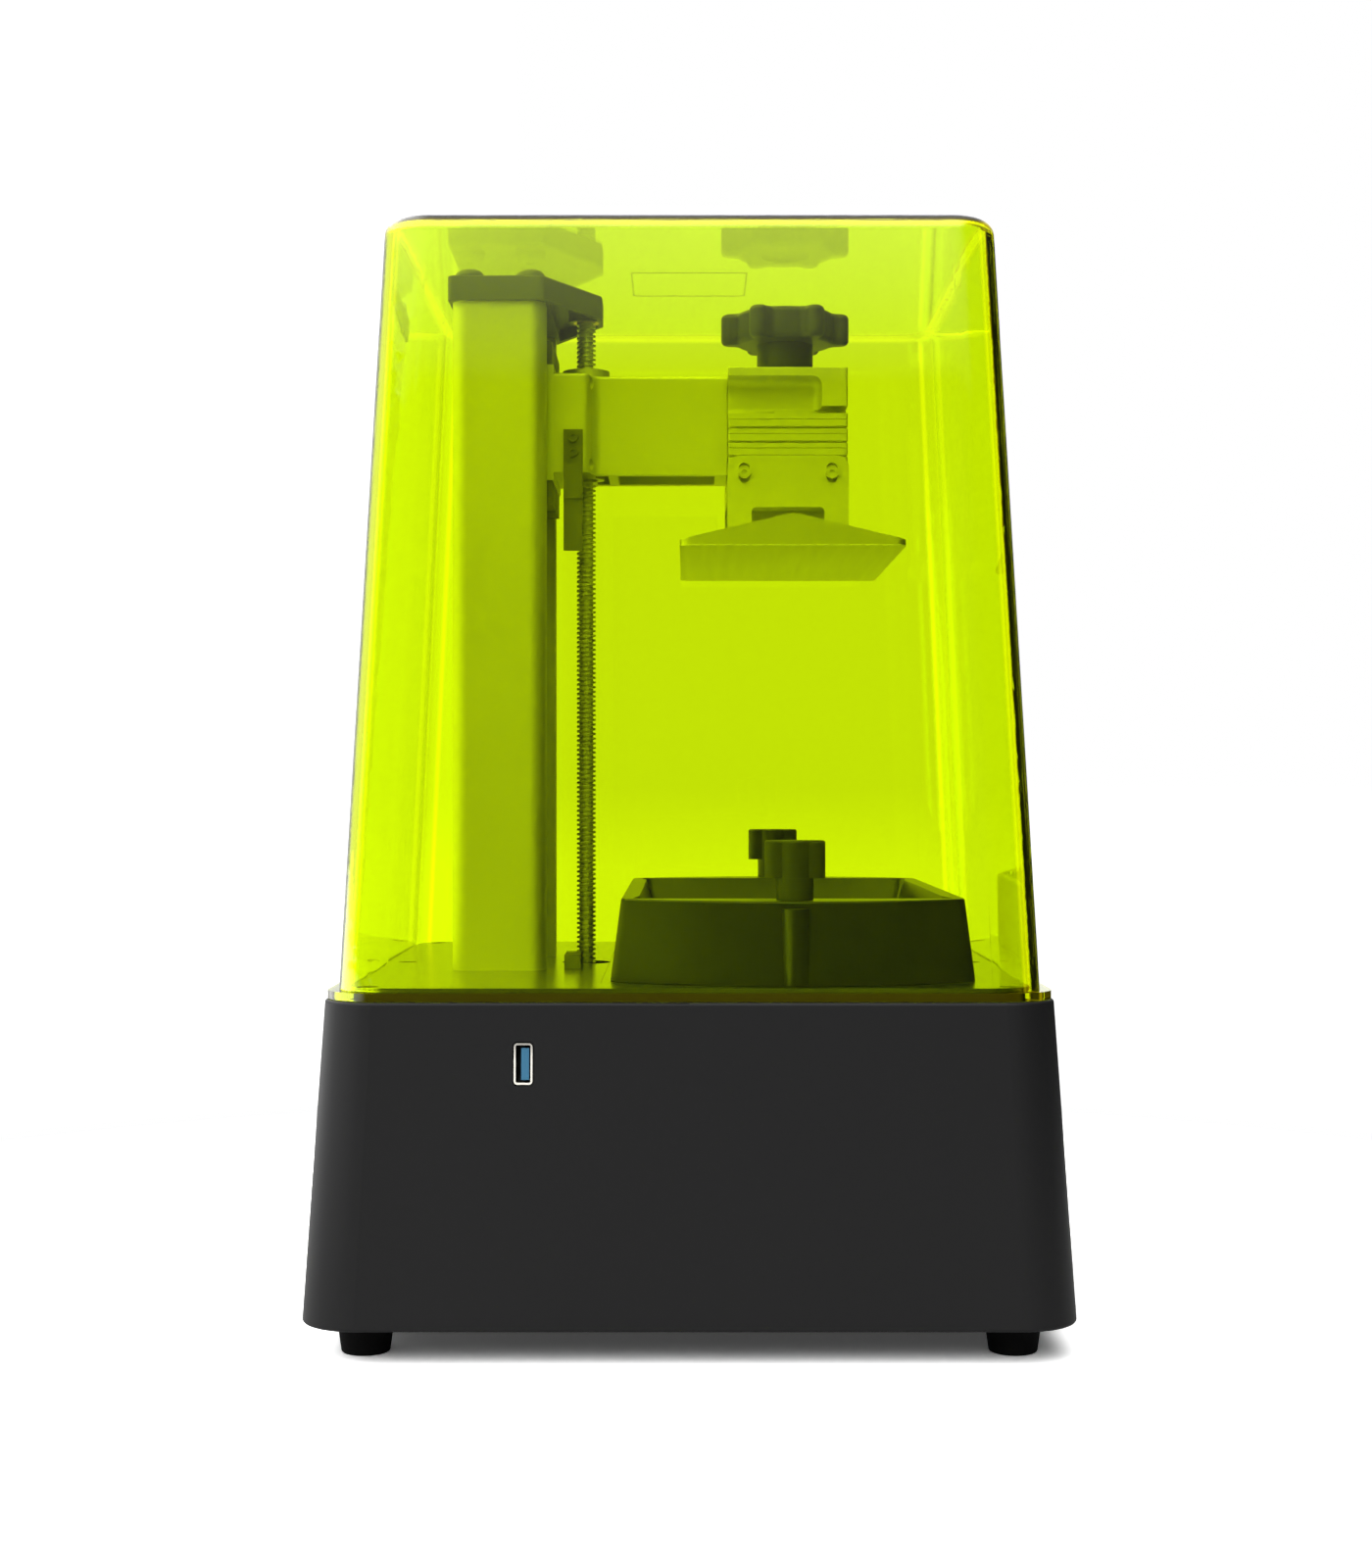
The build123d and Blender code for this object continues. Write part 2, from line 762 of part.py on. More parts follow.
with BuildPart() as deck_plate:
    with BuildSketch(Plane.XY.offset(step_z)):
        RectangleRounded(deck_width, deck_width, deck_corner)
        with Locations((vat_x, 0)):
            lcd_size = (lcd_width + 2 * fit_gap, lcd_length + 2 * fit_gap)
            RectangleRounded(*lcd_size, lcd_corner + fit_gap, mode=Mode.SUBTRACT)
        with Locations((screw_x, 0)):
            Circle(deck_hole_dia / 2, mode=Mode.SUBTRACT)
        with Locations(*port_points):
            Circle(port_dia / 2 + screw_gap, mode=Mode.SUBTRACT)
        with Locations(*thumb_points):
            Circle(thumb_dia / 2 + run_gap, mode=Mode.SUBTRACT)
    extrude(amount=deck_thickness)
    deck_top = Plane.XY.offset(deck_z)
    cut_sunk_holes(deck_top, deck_points, deck_screw_dia, deck_screw_head, deck_thickness)

with BuildPart() as deck_screws:
    sunk_screws_on(deck_top, deck_points, deck_screw_dia, deck_screw_length, deck_screw_head)

with BuildPart() as lcd_frame:
    with BuildSketch(Plane.XY.offset(lcd_z)):
        with Locations((vat_x, 0)):
            RectangleRounded(lcd_width, lcd_length, lcd_corner)
            Rectangle(screen_width, screen_length, mode=Mode.SUBTRACT)
    extrude(amount=deck_z - lcd_z)

with BuildPart() as lcd_screen:
    with BuildSketch(Plane.XY.offset(lcd_z)):
        with Locations((vat_x, 0)):
            Rectangle(screen_width - 2 * fit_gap, screen_length - 2 * fit_gap)
    extrude(amount=deck_z - lcd_z - screen_sink)

# ================================================================ light engine, hung under the panel
funnel_foot = (led_board_width + 2 * fit_gap, led_board_length + 2 * fit_gap)
wall_twice = 2 * light_wall
with BuildPart() as light_box:
    with BuildSketch(Plane.XY.offset(light_box_z)):
        with Locations((vat_x, 0)):
            Rectangle(funnel_foot[0] + wall_twice, funnel_foot[1] + wall_twice)
    with BuildSketch(Plane.XY.offset(panel_z)):
        with Locations((vat_x, 0)):
            Rectangle(light_width + wall_twice, light_length + wall_twice)
    loft()
    with BuildSketch(Plane.XY.offset(panel_z - light_flange_thickness)):
        with Locations((vat_x, 0)):
            Rectangle(light_width + wall_twice + 2 * light_flange, light_length + wall_twice)
    extrude(amount=light_flange_thickness)
    with BuildSketch(Plane.XY.offset(light_box_z)):
        with Locations((vat_x, 0)):
            Rectangle(funnel_foot[0] + wall_twice, funnel_foot[1] + wall_twice + 2 * light_flange)
    extrude(amount=light_foot_thickness)
    with BuildSketch(Plane.XY.offset(light_box_z)):
        with Locations((vat_x, 0)):
            Rectangle(*funnel_foot)
    with BuildSketch(Plane.XY.offset(panel_z)):
        with Locations((vat_x, 0)):
            Rectangle(light_width, light_length)
    loft(mode=Mode.SUBTRACT)
    cut_holes(Plane.XY.offset(panel_z), light_points, m3_hole, light_flange_thickness)
    foot_top = Plane.XY.offset(light_box_z + light_foot_thickness)
    cut_holes(foot_top, sink_points, m3_hole, light_foot_thickness)

with BuildPart() as heat_sink:
    with BuildSketch(Plane.XY.offset(light_box_z - sink_base)):
        with Locations((vat_x, 0)):
            Rectangle(led_board_width, sink_length)
    extrude(amount=sink_base)
    with BuildSketch(Plane.XY.offset(light_box_z - sink_base)):
        with Locations((vat_x, 0)):
            fin_pitch = (led_board_width - sink_fin_thickness) / (sink_fins - 1)
            with GridLocations(fin_pitch, 0, sink_fins, 1):
                Rectangle(sink_fin_thickness, led_board_length)
    extrude(amount=-sink_fin_height)
    cut_holes(Plane.XY.offset(light_box_z), led_points + sink_points, m3_hole, sink_base)

with BuildPart() as led_board:
    with BuildSketch(Plane.XY.offset(light_box_z)):
        with Locations((vat_x, 0)):
            Rectangle(led_board_width, led_board_length)
        with Locations(*led_points):
            Circle(m3_hole / 2, mode=Mode.SUBTRACT)
    extrude(amount=board_thickness)

led_z = light_box_z + board_thickness
with BuildPart() as uv_leds:
    with BuildSketch(Plane.XY.offset(led_z)):
        with Locations((vat_x, 0)):
            with GridLocations(led_pitch, led_pitch, led_rows, led_columns):
                Rectangle(led_size, led_size)
    extrude(amount=led_height)

with BuildPart() as lens_array:
    lens_z = led_z + led_height + lens_height
    with BuildSketch(Plane.XY.offset(lens_z)):
        with Locations((vat_x, 0)):
            with GridLocations(led_pitch, led_pitch, led_rows, led_columns):
                Circle(lens_dia / 2)
    extrude(amount=lens_thickness + lens_dome)
    fillet(lens_array.edges().group_by(Axis.Z)[-1], lens_dome * 0.95)
    with BuildSketch(Plane.XY.offset(lens_z)):
        with Locations((vat_x, 0)):
            tray_width = led_board_width - 2 * lens_tray_inset
            Rectangle(tray_width, led_board_length - 2 * lens_tray_end)
    extrude(amount=lens_thickness)
    with BuildSketch(Plane.XY.offset(led_z)):
        leg_span = tray_width - lens_leg_dia
        with Locations(*shifted(corners(leg_span, led_pitch * 3), vat_x, 0)):
            Circle(lens_leg_dia / 2)
    extrude(amount=lens_z - led_z)

# ================================================================ electronics
with BuildPart() as mainboard:
    board_z = base_z + bottom_thickness + main_board_lift
    with BuildSketch(Plane.XY.offset(board_z)):
        with Locations((main_board_x, main_board_y)):
            Rectangle(main_board_width, main_board_length)
        with Locations(*main_points):
            Circle(m3_hole / 2, mode=Mode.SUBTRACT)
    extrude(amount=board_thickness)
    board_top = Plane.XY.offset(board_z + board_thickness)
    with BuildSketch(board_top):
        with Locations((main_board_x - chip_spacing, main_board_y)):
            Rectangle(chip_width, chip_width)
        with Locations((main_board_x + chip_spacing, main_board_y)):
            Rectangle(driver_width, driver_width)
        with Locations((main_board_x + chip_spacing, main_board_y - chip_width)):
            Rectangle(regulator_width, regulator_length)
    extrude(amount=chip_height)
    with BuildSketch(board_top):
        with Locations((main_board_x, main_board_y + main_board_length / 2 - main_screw_inset)):
            with GridLocations(chip_spacing, 0, socket_count, 1):
                Rectangle(socket_width, socket_depth)
    extrude(amount=socket_height)
    with BuildSketch(board_top):
        with Locations((main_board_x - main_board_width / 2 + chip_spacing, main_board_y - chip_width)):
            with GridLocations(0, capacitor_spacing, 1, capacitor_count):
                Circle(capacitor_dia / 2)
    extrude(amount=capacitor_height)

with BuildPart() as display_board:
    board_back = shell_wall + display_boss
    with BuildSketch(front_wall.offset(-board_back)):
        Rectangle(display_board_width, display_board_height)
        with Locations(*display_points):
            Circle(m3_hole / 2, mode=Mode.SUBTRACT)
    extrude(amount=-board_thickness)
    with BuildSketch(front_wall.offset(-board_back)):
        Rectangle(display_width, display_height)
    extrude(amount=board_back - glass_thickness)

with BuildPart() as touch_glass:
    with BuildSketch(front_wall):
        RectangleRounded(glass_width, glass_height, glass_corner - fit_gap)
    extrude(amount=-glass_thickness)

with BuildPart() as usb_shell:
    usb_inner = (usb_width - 2 * usb_wall, usb_height - 2 * usb_wall)
    with BuildSketch(side_wall):
        RectangleRounded(usb_width, usb_height, usb_corner)
        RectangleRounded(*usb_inner, usb_corner - usb_wall, mode=Mode.SUBTRACT)
    extrude(amount=-usb_depth)
    with BuildSketch(side_wall.offset(-usb_depth)):
        RectangleRounded(usb_width, usb_height, usb_corner)
    extrude(amount=usb_wall)
    with BuildSketch(side_wall.offset(-shell_wall - usb_pad)):
        Rectangle(usb_height, usb_screw_span + 1.5 * m3_head)
        RectangleRounded(*usb_inner, usb_corner - usb_wall, mode=Mode.SUBTRACT)
        with Locations(*usb_points):
            Circle(m3_hole / 2, mode=Mode.SUBTRACT)
    extrude(amount=-usb_flange)

with BuildPart() as usb_tongue:
    with BuildSketch(side_wall.offset(usb_wall - usb_depth)):
        with Locations((usb_tongue_shift, 0)):
            Rectangle(usb_tongue_width, usb_tongue_height)
    extrude(amount=usb_depth - usb_wall - usb_tongue_sink)

with BuildPart() as power_jack:
    jack_face = rear_wall.offset(jack_flange)
    with BuildSketch(rear_wall):
        with Locations((-jack_y, 0)):
            Circle(jack_flange_dia / 2)
    extrude(amount=jack_flange)
    with BuildSketch(rear_wall):
        with Locations((-jack_y, 0)):
            Circle(jack_body_dia / 2)
    extrude(amount=-jack_depth)
    with BuildSketch(jack_face):
        with Locations((-jack_y, 0)):
            Circle(jack_bore_dia / 2)
            Circle(jack_pin_dia / 2, mode=Mode.SUBTRACT)
    extrude(amount=-jack_bore_depth, mode=Mode.SUBTRACT)

rocker_cavity = (rocker_width + 2 * slide_gap, rocker_length + 2 * rocker_play)
with BuildPart() as power_switch_body:
    with BuildSketch(rear_wall):
        with Locations((-switch_y, 0)):
            Rectangle(switch_width + 2 * switch_rim, switch_length + 2 * switch_rim)
    extrude(amount=switch_rim)
    with BuildSketch(rear_wall):
        with Locations((-switch_y, 0)):
            Rectangle(switch_width, switch_length)
    extrude(amount=-switch_depth)
    with BuildSketch(rear_wall.offset(switch_rim)):
        with Locations((-switch_y, 0)):
            Rectangle(*rocker_cavity)
    extrude(amount=-switch_rim - rocker_drop - rocker_room, mode=Mode.SUBTRACT)
    # Pivot pin across the cavity
    with Locations(rear_wall * Location((-switch_y, 0, 0), (0, 90, 0))):
        Cylinder(rocker_pin_dia / 2, rocker_cavity[0] + 2 * rocker_pin_seat)

# The rocker rests with one end pressed, tilted about its pin
rocker_axis = rear_wall * Location((-switch_y, 0, 0), (-rocker_tilt, 0, 0))
rocker_plane = Plane(rocker_axis) * Plane.YZ
with BuildPart() as power_switch_rocker:
    with BuildSketch(rocker_plane):
        with BuildLine():
            half = rocker_length / 2
            lift = half * tan(radians(rocker_tilt))
            Polyline(
                (-half, -rocker_drop),
                (half, -rocker_drop),
                (half, rocker_rise + lift),
                (0, rocker_rise),
                (-half, rocker_rise + lift),
                close=True,
            )
        make_face()
        Circle(rocker_pin_dia / 2 + run_gap, mode=Mode.SUBTRACT)
    extrude(amount=rocker_width / 2, both=True)

# ================================================================ exhaust fan behind the rear vents
fan_mount = rear_wall.offset(-shell_wall)
fan_inner = rear_wall.offset(-shell_wall - fan_depth)
with BuildPart() as exhaust_fan_frame:
    with BuildSketch(fan_mount):
        with Locations((-fan_y, 0)):
            RectangleRounded(fan_size, fan_size, fan_corner)
            Circle(fan_bore / 2, mode=Mode.SUBTRACT)
    extrude(amount=-fan_depth)
    # Motor plate, its struts and the axle, on the inner side
    with BuildSketch(fan_inner):
        with Locations((-fan_y, 0)):
            Circle(fan_hub_dia / 2)
            with PolarLocations(fan_bore / 4, fan_struts):
                Rectangle(fan_bore / 2 + cut_margin, fan_strut_width)
    extrude(amount=fan_plate)
    with BuildSketch(fan_inner):
        with Locations((-fan_y, 0)):
            Circle(fan_axle_dia / 2)
    extrude(amount=fan_depth - fan_axle_setback)
    cut_holes(fan_mount, fan_points, m3_hole, fan_depth)

with BuildPart() as exhaust_fan_rotor:
    rotor_floor = fan_plate + slide_gap
    rotor_height = fan_depth - rotor_floor - fan_rotor_setback
    with BuildSketch(fan_inner.offset(rotor_floor)):
        with Locations((-fan_y, 0)):
            Circle(fan_hub_dia / 2)
    extrude(amount=rotor_height)
    blade_reach = (fan_bore - fan_hub_dia) / 2 - fan_blade_gap + fan_blade_root
    blade_middle = fan_hub_dia / 2 - fan_blade_root + blade_reach / 2
    blade_height = rotor_floor + rotor_height / 2
    with Locations(fan_inner * Location((-fan_y, 0, blade_height))):
        with PolarLocations(blade_middle, fan_blades):
            Box(blade_reach, fan_blade_width, fan_blade_thickness, rotation=(fan_blade_pitch, 0, 0))
    with BuildSketch(fan_inner.offset(rotor_floor)):
        with Locations((-fan_y, 0)):
            Circle(fan_axle_dia / 2 + run_gap)
    extrude(amount=rotor_height, mode=Mode.SUBTRACT)

# ================================================================ column, cap and rails
with BuildPart() as column:
    with BuildSketch(Plane.XY.offset(deck_z)):
        with Locations((column_x, 0)):
            RectangleRounded(column_depth, column_width, column_corner)
        with Locations((column_front - channel_depth / 2, 0)):
            Rectangle(channel_depth, channel_width, mode=Mode.SUBTRACT)
        # Chambers behind the channel, either side of a middle web
        chamber_depth = column_depth - channel_depth - 2 * column_wall
        chamber_width = channel_width / 2 - 1.5 * column_wall
        with Locations((column_back + column_wall + chamber_depth / 2, 0)):
            with GridLocations(0, chamber_width + column_wall, 1, 2):
                Rectangle(chamber_depth, chamber_width, mode=Mode.SUBTRACT)
        # Chambers beside the channel, between the screw ports
        side_depth = column_depth - 4 * port_inset
        side_width = (column_width - channel_width) / 2 - 2 * column_wall
        with Locations((column_x, 0)):
            with GridLocations(0, (column_width + channel_width) / 2, 1, 2):
                Rectangle(side_depth, side_width, mode=Mode.SUBTRACT)
        with Locations(*port_points):
            Circle(port_dia / 2, mode=Mode.SUBTRACT)
    extrude(amount=column_height)
    rail_hole = rail_screw_dia + 2 * screw_gap
    cut_holes(Plane.YZ.offset(channel_floor), rail_points, rail_hole, column_wall)

bolt_shank = port_dia - 2 * screw_gap
with BuildPart() as column_bolts:
    with BuildSketch(Plane.XY.offset(panel_z)):
        with Locations(*port_points):
            Circle(bolt_shank / 2)
    extrude(amount=column_bolt_length)
    with BuildSketch(Plane.XY.offset(panel_z)):
        with Locations(*port_points):
            Circle(column_bolt_head / 2)
            RegularPolygon(bolt_shank / 2, 6, mode=Mode.SUBTRACT)
    extrude(amount=-column_bolt_head_height)
    with BuildSketch(Plane.XY.offset(panel_z)):
        with Locations(*port_points):
            Circle(bolt_shank / 2)
    extrude(amount=-column_bolt_head_height / 2)

cap_back = column_back - cap_overhang
cap_shoulder = column_front - cap_setback
with BuildPart() as column_cap:
    with BuildSketch(Plane.XY.offset(column_top)) as cap_outline:
        with BuildLine():
            nose_x = cap_shoulder + cap_nose
            Polyline(
                (cap_back, -cap_width / 2),
                (cap_shoulder, -cap_width / 2),
                (nose_x, -cap_nose_width / 2),
                (nose_x, cap_nose_width / 2),
                (cap_shoulder, cap_width / 2),
                (cap_back, cap_width / 2),
                close=True,
            )
        make_face()
        fillet(cap_outline.vertices(), cap_lip)
    extrude(amount=cap_thickness)
    # Recess under the nose, around the boss that holds the bush
    with BuildSketch(Plane.XY.offset(column_top)):
        add(cap_outline.sketch)
        offset(amount=-cap_lip)
        with Locations((cap_back, 0)):
            back_width = 2 * (cap_shoulder - cap_back + cap_lip)
            Rectangle(back_width, cap_width, mode=Mode.SUBTRACT)
        with Locations((screw_x, 0)):
            Circle(bush_dia / 2 + cap_lip, mode=Mode.SUBTRACT)
    extrude(amount=cap_recess, mode=Mode.SUBTRACT)
    with BuildSketch(Plane.XY.offset(column_top)):
        with Locations((screw_x, 0)):
            Circle(bush_dia / 2 + run_gap)
    extrude(amount=bush_length, mode=Mode.SUBTRACT)
    cut_holes(Plane.XY.offset(column_top + cap_thickness), port_points, port_dia, cap_thickness)
    chamfer(column_cap.faces().sort_by(Axis.Z)[-1].outer_wire().edges(), cap_chamfer)

with BuildPart() as cap_screws:
    cap_seat = Plane.XY.offset(column_top + cap_thickness)
    with BuildSketch(cap_seat):
        with Locations(*port_points):
            Circle(cap_screw_head / 2)
    extrude(amount=cap_screw_head_height)
    fillet(cap_screws.edges().group_by(Axis.Z)[-1], 0.8 * cap_screw_head_height)
    with BuildSketch(cap_seat.offset(cap_screw_head_height)):
        with Locations(*port_points):
            RegularPolygon(bolt_shank / 2, 6, major_radius=False)
    extrude(amount=-cap_screw_head_height / 2, mode=Mode.SUBTRACT)
    with BuildSketch(cap_seat):
        with Locations(*port_points):
            Circle(bolt_shank / 2)
    extrude(amount=-cap_screw_length)

with BuildPart() as top_bush:
    with BuildSketch(Plane.XY.offset(column_top)):
        with Locations((screw_x, 0)):
            Circle(bush_dia / 2)
            Circle(lead_dia / 2 + run_gap, mode=Mode.SUBTRACT)
    extrude(amount=bush_length - seat_gap)

with BuildPart() as rails:
    with BuildSketch(Plane.XY.offset(deck_z + rail_lift)):
        with Locations((channel_floor + rail_height / 2, 0)):
            with GridLocations(0, rail_span, 1, 2):
                Rectangle(rail_height, rail_width)
                # Ball grooves down both flanks
                with Locations((rail_height / 6, -rail_width / 2), (rail_height / 6, rail_width / 2)):
                    Circle(rail_height / 10, mode=Mode.SUBTRACT)
    extrude(amount=rail_length)
    cut_holes(Plane.YZ.offset(rail_face), rail_points, rail_screw_dia + 2 * screw_gap, rail_height)
    cut_holes(Plane.YZ.offset(rail_face), rail_points, rail_screw_head + 2 * screw_gap, rail_height / 2)

with BuildPart() as rail_screws:
    rail_seat = Plane.YZ.offset(rail_face - rail_height / 2)
    head_height = rail_screw_dia
    rail_bolt = (rail_screw_dia, rail_screw_length, rail_screw_head, head_height, 0.6 * rail_screw_dia)
    cap_screws_on(rail_seat, rail_points, *rail_bolt)

slider_z = arm_z + arm_height / 2 - slider_body / 2


def slider_profile(side):
    """Section of both sliders: C shapes, open towards the column, around the rails."""
    depth = slider_depth - 2 * side
    with Locations((slider_face - side - depth / 2, 0)):
        with GridLocations(0, rail_span, 1, 2):
            Rectangle(depth, slider_width - 2 * side)
    rail_slot = rail_face + slide_gap - slider_back
    with Locations((slider_back + rail_slot / 2, 0)):
        with GridLocations(0, rail_span, 1, 2):
            Rectangle(rail_slot, rail_width + 2 * slide_gap, mode=Mode.SUBTRACT)


arm_screw_points = corners(arm_screw_span_y, arm_screw_span_z)
arm_screw_points = shifted(arm_screw_points, 0, arm_z + arm_height / 2)
with BuildPart() as sliders:
    with BuildSketch(Plane.XY.offset(slider_z)):
        slider_profile(0)
    extrude(amount=slider_body)
    cut_holes(
        Plane.YZ.offset(slider_face), arm_screw_points, arm_screw_dia + 2 * screw_gap, slider_height / 3
    )

with BuildPart() as slider_end_caps:
    with BuildSketch(Plane.XY.offset(slider_z - slider_cap)):
        slider_profile(slider_cap_inset)
    extrude(amount=slider_cap)
    with BuildSketch(Plane.XY.offset(slider_z + slider_body)):
        slider_profile(slider_cap_inset)
    extrude(amount=slider_cap)

# ================================================================ lead screw and its motor
with BuildPart() as z_motor:
    with BuildSketch(Plane.XY.offset(motor_z)):
        with Locations((screw_x, 0)):
            Rectangle(motor_size, motor_size)
    extrude(amount=-motor_height)
    chamfer(z_motor.edges().filter_by(Axis.Z), motor_corner)
    with BuildSketch(Plane.XY.offset(motor_z)):
        with Locations((screw_x, 0)):
            Circle(motor_pilot_dia / 2)
    extrude(amount=motor_pilot)
    with BuildSketch(Plane.XY.offset(motor_z + motor_pilot)):
        with Locations((screw_x, 0)):
            Circle(shaft_dia / 2 + run_gap)
    extrude(amount=-motor_pilot - motor_height + motor_floor, mode=Mode.SUBTRACT)
    cut_holes(Plane.XY.offset(motor_z), motor_points, m3_hole, m3_length)
    # Lead connector
    with BuildSketch(Plane.XY.offset(motor_z - motor_height)):
        with Locations((screw_x - motor_size / 2, 0)):
            Rectangle(2 * motor_plug_depth, motor_plug_width)
    extrude(amount=motor_plug_height)

with BuildPart() as motor_bracket:
    leg_outer = 2 * (bracket_leg + bracket_plate)
    with BuildSketch(Plane.YZ.offset(screw_x - bracket_leg_width / 2)):
        with Locations((0, (motor_z + panel_z) / 2)):
            Rectangle(leg_outer, panel_z - motor_z)
            Rectangle(2 * bracket_leg, panel_z - motor_z, mode=Mode.SUBTRACT)
        for side in (-1, 1):
            with Locations((side * bracket_flange_y, panel_z - bracket_plate / 2)):
                Rectangle(bracket_flange, bracket_plate)
    extrude(amount=bracket_leg_width)
    with BuildSketch(Plane.XY.offset(motor_z)):
        with Locations((screw_x, 0)):
            Rectangle(motor_size, leg_outer)
    extrude(amount=bracket_plate)
    cut_holes(Plane.XY.offset(panel_z), bracket_points, m3_hole, bracket_plate)
    cut_holes(Plane.XY.offset(motor_z + bracket_plate), motor_points, m3_hole, bracket_plate)
    with BuildSketch(Plane.XY.offset(motor_z)):
        with Locations((screw_x, 0)):
            Circle(motor_pilot_dia / 2 + fit_gap)
    extrude(amount=bracket_plate, mode=Mode.SUBTRACT)

with BuildPart() as motor_shaft:
    shaft_bottom = motor_z - motor_height + motor_floor + slide_gap
    shaft_top = coupling_z + coupling_length / 2 - coupling_split / 2
    with Locations((screw_x, 0, shaft_bottom)):
        Cylinder(shaft_dia / 2, shaft_top - shaft_bottom, align=(Align.CENTER, Align.CENTER, Align.MIN))

with BuildPart() as shaft_coupling:
    with Locations((screw_x, 0, coupling_z)):
        Cylinder(coupling_dia / 2, coupling_length, align=(Align.CENTER, Align.CENTER, Align.MIN))
    chamfer(shaft_coupling.edges().filter_by(GeomType.CIRCLE), coupling_chamfer)
    with BuildSketch(Plane.XY.offset(coupling_z)):
        with Locations((screw_x, 0)):
            Circle(shaft_dia / 2 + run_gap)
    extrude(amount=coupling_length / 2, mode=Mode.SUBTRACT)
    with BuildSketch(Plane.XY.offset(lead_z)):
        with Locations((screw_x, 0)):
            Circle(lead_dia / 2 + run_gap)
    extrude(amount=coupling_length / 2, mode=Mode.SUBTRACT)
    # Clamp slits across both ends
    for middle in (coupling_z + coupling_length / 5, coupling_z + 4 * coupling_length / 5):
        with Locations((screw_x + coupling_dia / 3, 0, middle)):
            Box(coupling_dia / 2, 2 * coupling_split, coupling_length / 4, mode=Mode.SUBTRACT)

with BuildPart() as lead_screw:
    with Locations((screw_x, 0, lead_z)):
        Cylinder(lead_dia / 2, lead_top - lead_z, align=(Align.CENTER, Align.CENTER, Align.MIN))
    chamfer(lead_screw.edges().filter_by(GeomType.CIRCLE).group_by(Axis.Z)[-1], lead_chamfer)

nut_points = [
    (screw_x + nut_screw_circle / 2 * i, nut_screw_circle / 2 * j)
    for i, j in ((1, 0), (0, 1), (-1, 0), (0, -1))
]
with BuildPart() as lead_nut:
    with BuildSketch(Plane.XY.offset(arm_top)):
        with Locations((screw_x, 0)):
            Circle(nut_flange_dia / 2)
    extrude(amount=nut_flange)
    with BuildSketch(Plane.XY.offset(arm_top)):
        with Locations((screw_x, 0)):
            Circle(nut_barrel_dia / 2)
    extrude(amount=nut_flange - nut_length)
    nut_face = Plane.XY.offset(arm_top + nut_flange)
    cut_holes(nut_face, [(screw_x, 0)], lead_dia + 2 * run_gap, nut_length)
    cut_sunk_holes(nut_face, nut_points, nut_screw_dia, nut_screw_head, nut_flange)

with BuildPart() as nut_screws:
    sunk_screws_on(nut_face, nut_points, nut_screw_dia, nut_flange + nut_screw_depth, nut_screw_head)

# ================================================================ lifting arm
with BuildPart() as lift_arm:
    beam_width = beam_end - slider_face
    with BuildSketch(Plane.XY.offset(arm_z)) as arm_plan:
        with Locations((slider_face + arm_block_depth / 2, 0)):
            Rectangle(arm_block_depth, arm_block_width)
        with Locations((slider_face + beam_width / 2, 0)):
            Rectangle(beam_width, arm_beam_width)
        beside_beam = arm_plan.vertices().group_by(Axis.X)[1].sort_by(Axis.Y)[1:-1]
        fillet(beside_beam, arm_blend * arm_fillet_share)
        block_front_points = arm_plan.vertices().group_by(Axis.X)[1].sort_by(Axis.Y)
        fillet([block_front_points[0], block_front_points[-1]], arm_corner * arm_fillet_share)
    extrude(amount=arm_height)
    fillet(lift_arm.faces().sort_by(Axis.Z)[-1].edges(), arm_round)
    # Tongue that carries the platform
    with BuildSketch(Plane.YZ.offset(beam_end)):
        with Locations((0, tongue_z + tongue_height / 2)):
            Rectangle(tongue_width, tongue_height)
    extrude(amount=tongue_length)
    chamfer(lift_arm.faces().sort_by(Axis.X)[-1].edges(), tongue_chamfer)
    # Bore for the nut, and pockets cored out from below around its boss
    with BuildSketch(Plane.XY.offset(arm_z)):
        with Locations((screw_x, 0)):
            Circle(nut_barrel_dia / 2 + screw_gap)
    extrude(amount=arm_height, mode=Mode.SUBTRACT)
    nut_hole = nut_screw_dia + 2 * screw_gap
    cut_holes(Plane.XY.offset(arm_top), nut_points, nut_hole, nut_screw_depth + nut_screw_dia)
    pocket_width = arm_beam_width - 2 * arm_wall
    front_pocket_end = beam_end - arm_wall
    back_pocket_end = front_pocket_end - arm_front_pocket - arm_rib
    with BuildSketch(Plane.XY.offset(arm_z)):
        with Locations((front_pocket_end - arm_front_pocket / 2, 0)):
            Rectangle(arm_front_pocket, pocket_width)
        with Locations((back_pocket_end - arm_back_pocket / 2, 0)):
            Rectangle(arm_back_pocket, pocket_width)
        with Locations((screw_x, 0)):
            Circle(nut_barrel_dia / 2 + nut_wall, mode=Mode.SUBTRACT)
    extrude(amount=arm_pocket_depth, mode=Mode.SUBTRACT)
    # Screws to the sliders
    block_face = Plane.YZ.offset(block_front + arm_blend)
    recess = arm_screw_recess + arm_blend
    cut_holes(block_face, arm_screw_points, arm_screw_head + 2 * screw_gap, recess)
    cut_holes(block_face, arm_screw_points, arm_screw_dia + 2 * screw_gap, arm_block_depth + arm_blend)
    # Threaded holes for the limit flag
    flag_x = slider_face + arm_block_depth / 2 + flag_width / 16
    flag_screw_z = arm_z + flag_top - 0.4 * flag_width
    flag_points = [(flag_x, flag_screw_z), (flag_x, flag_screw_z - flag_screw_pitch)]
    flag_hole = nut_screw_dia + 2 * screw_gap
    cut_holes(Plane.XZ.offset(arm_block_width / 2), flag_points, flag_hole, flag_width)

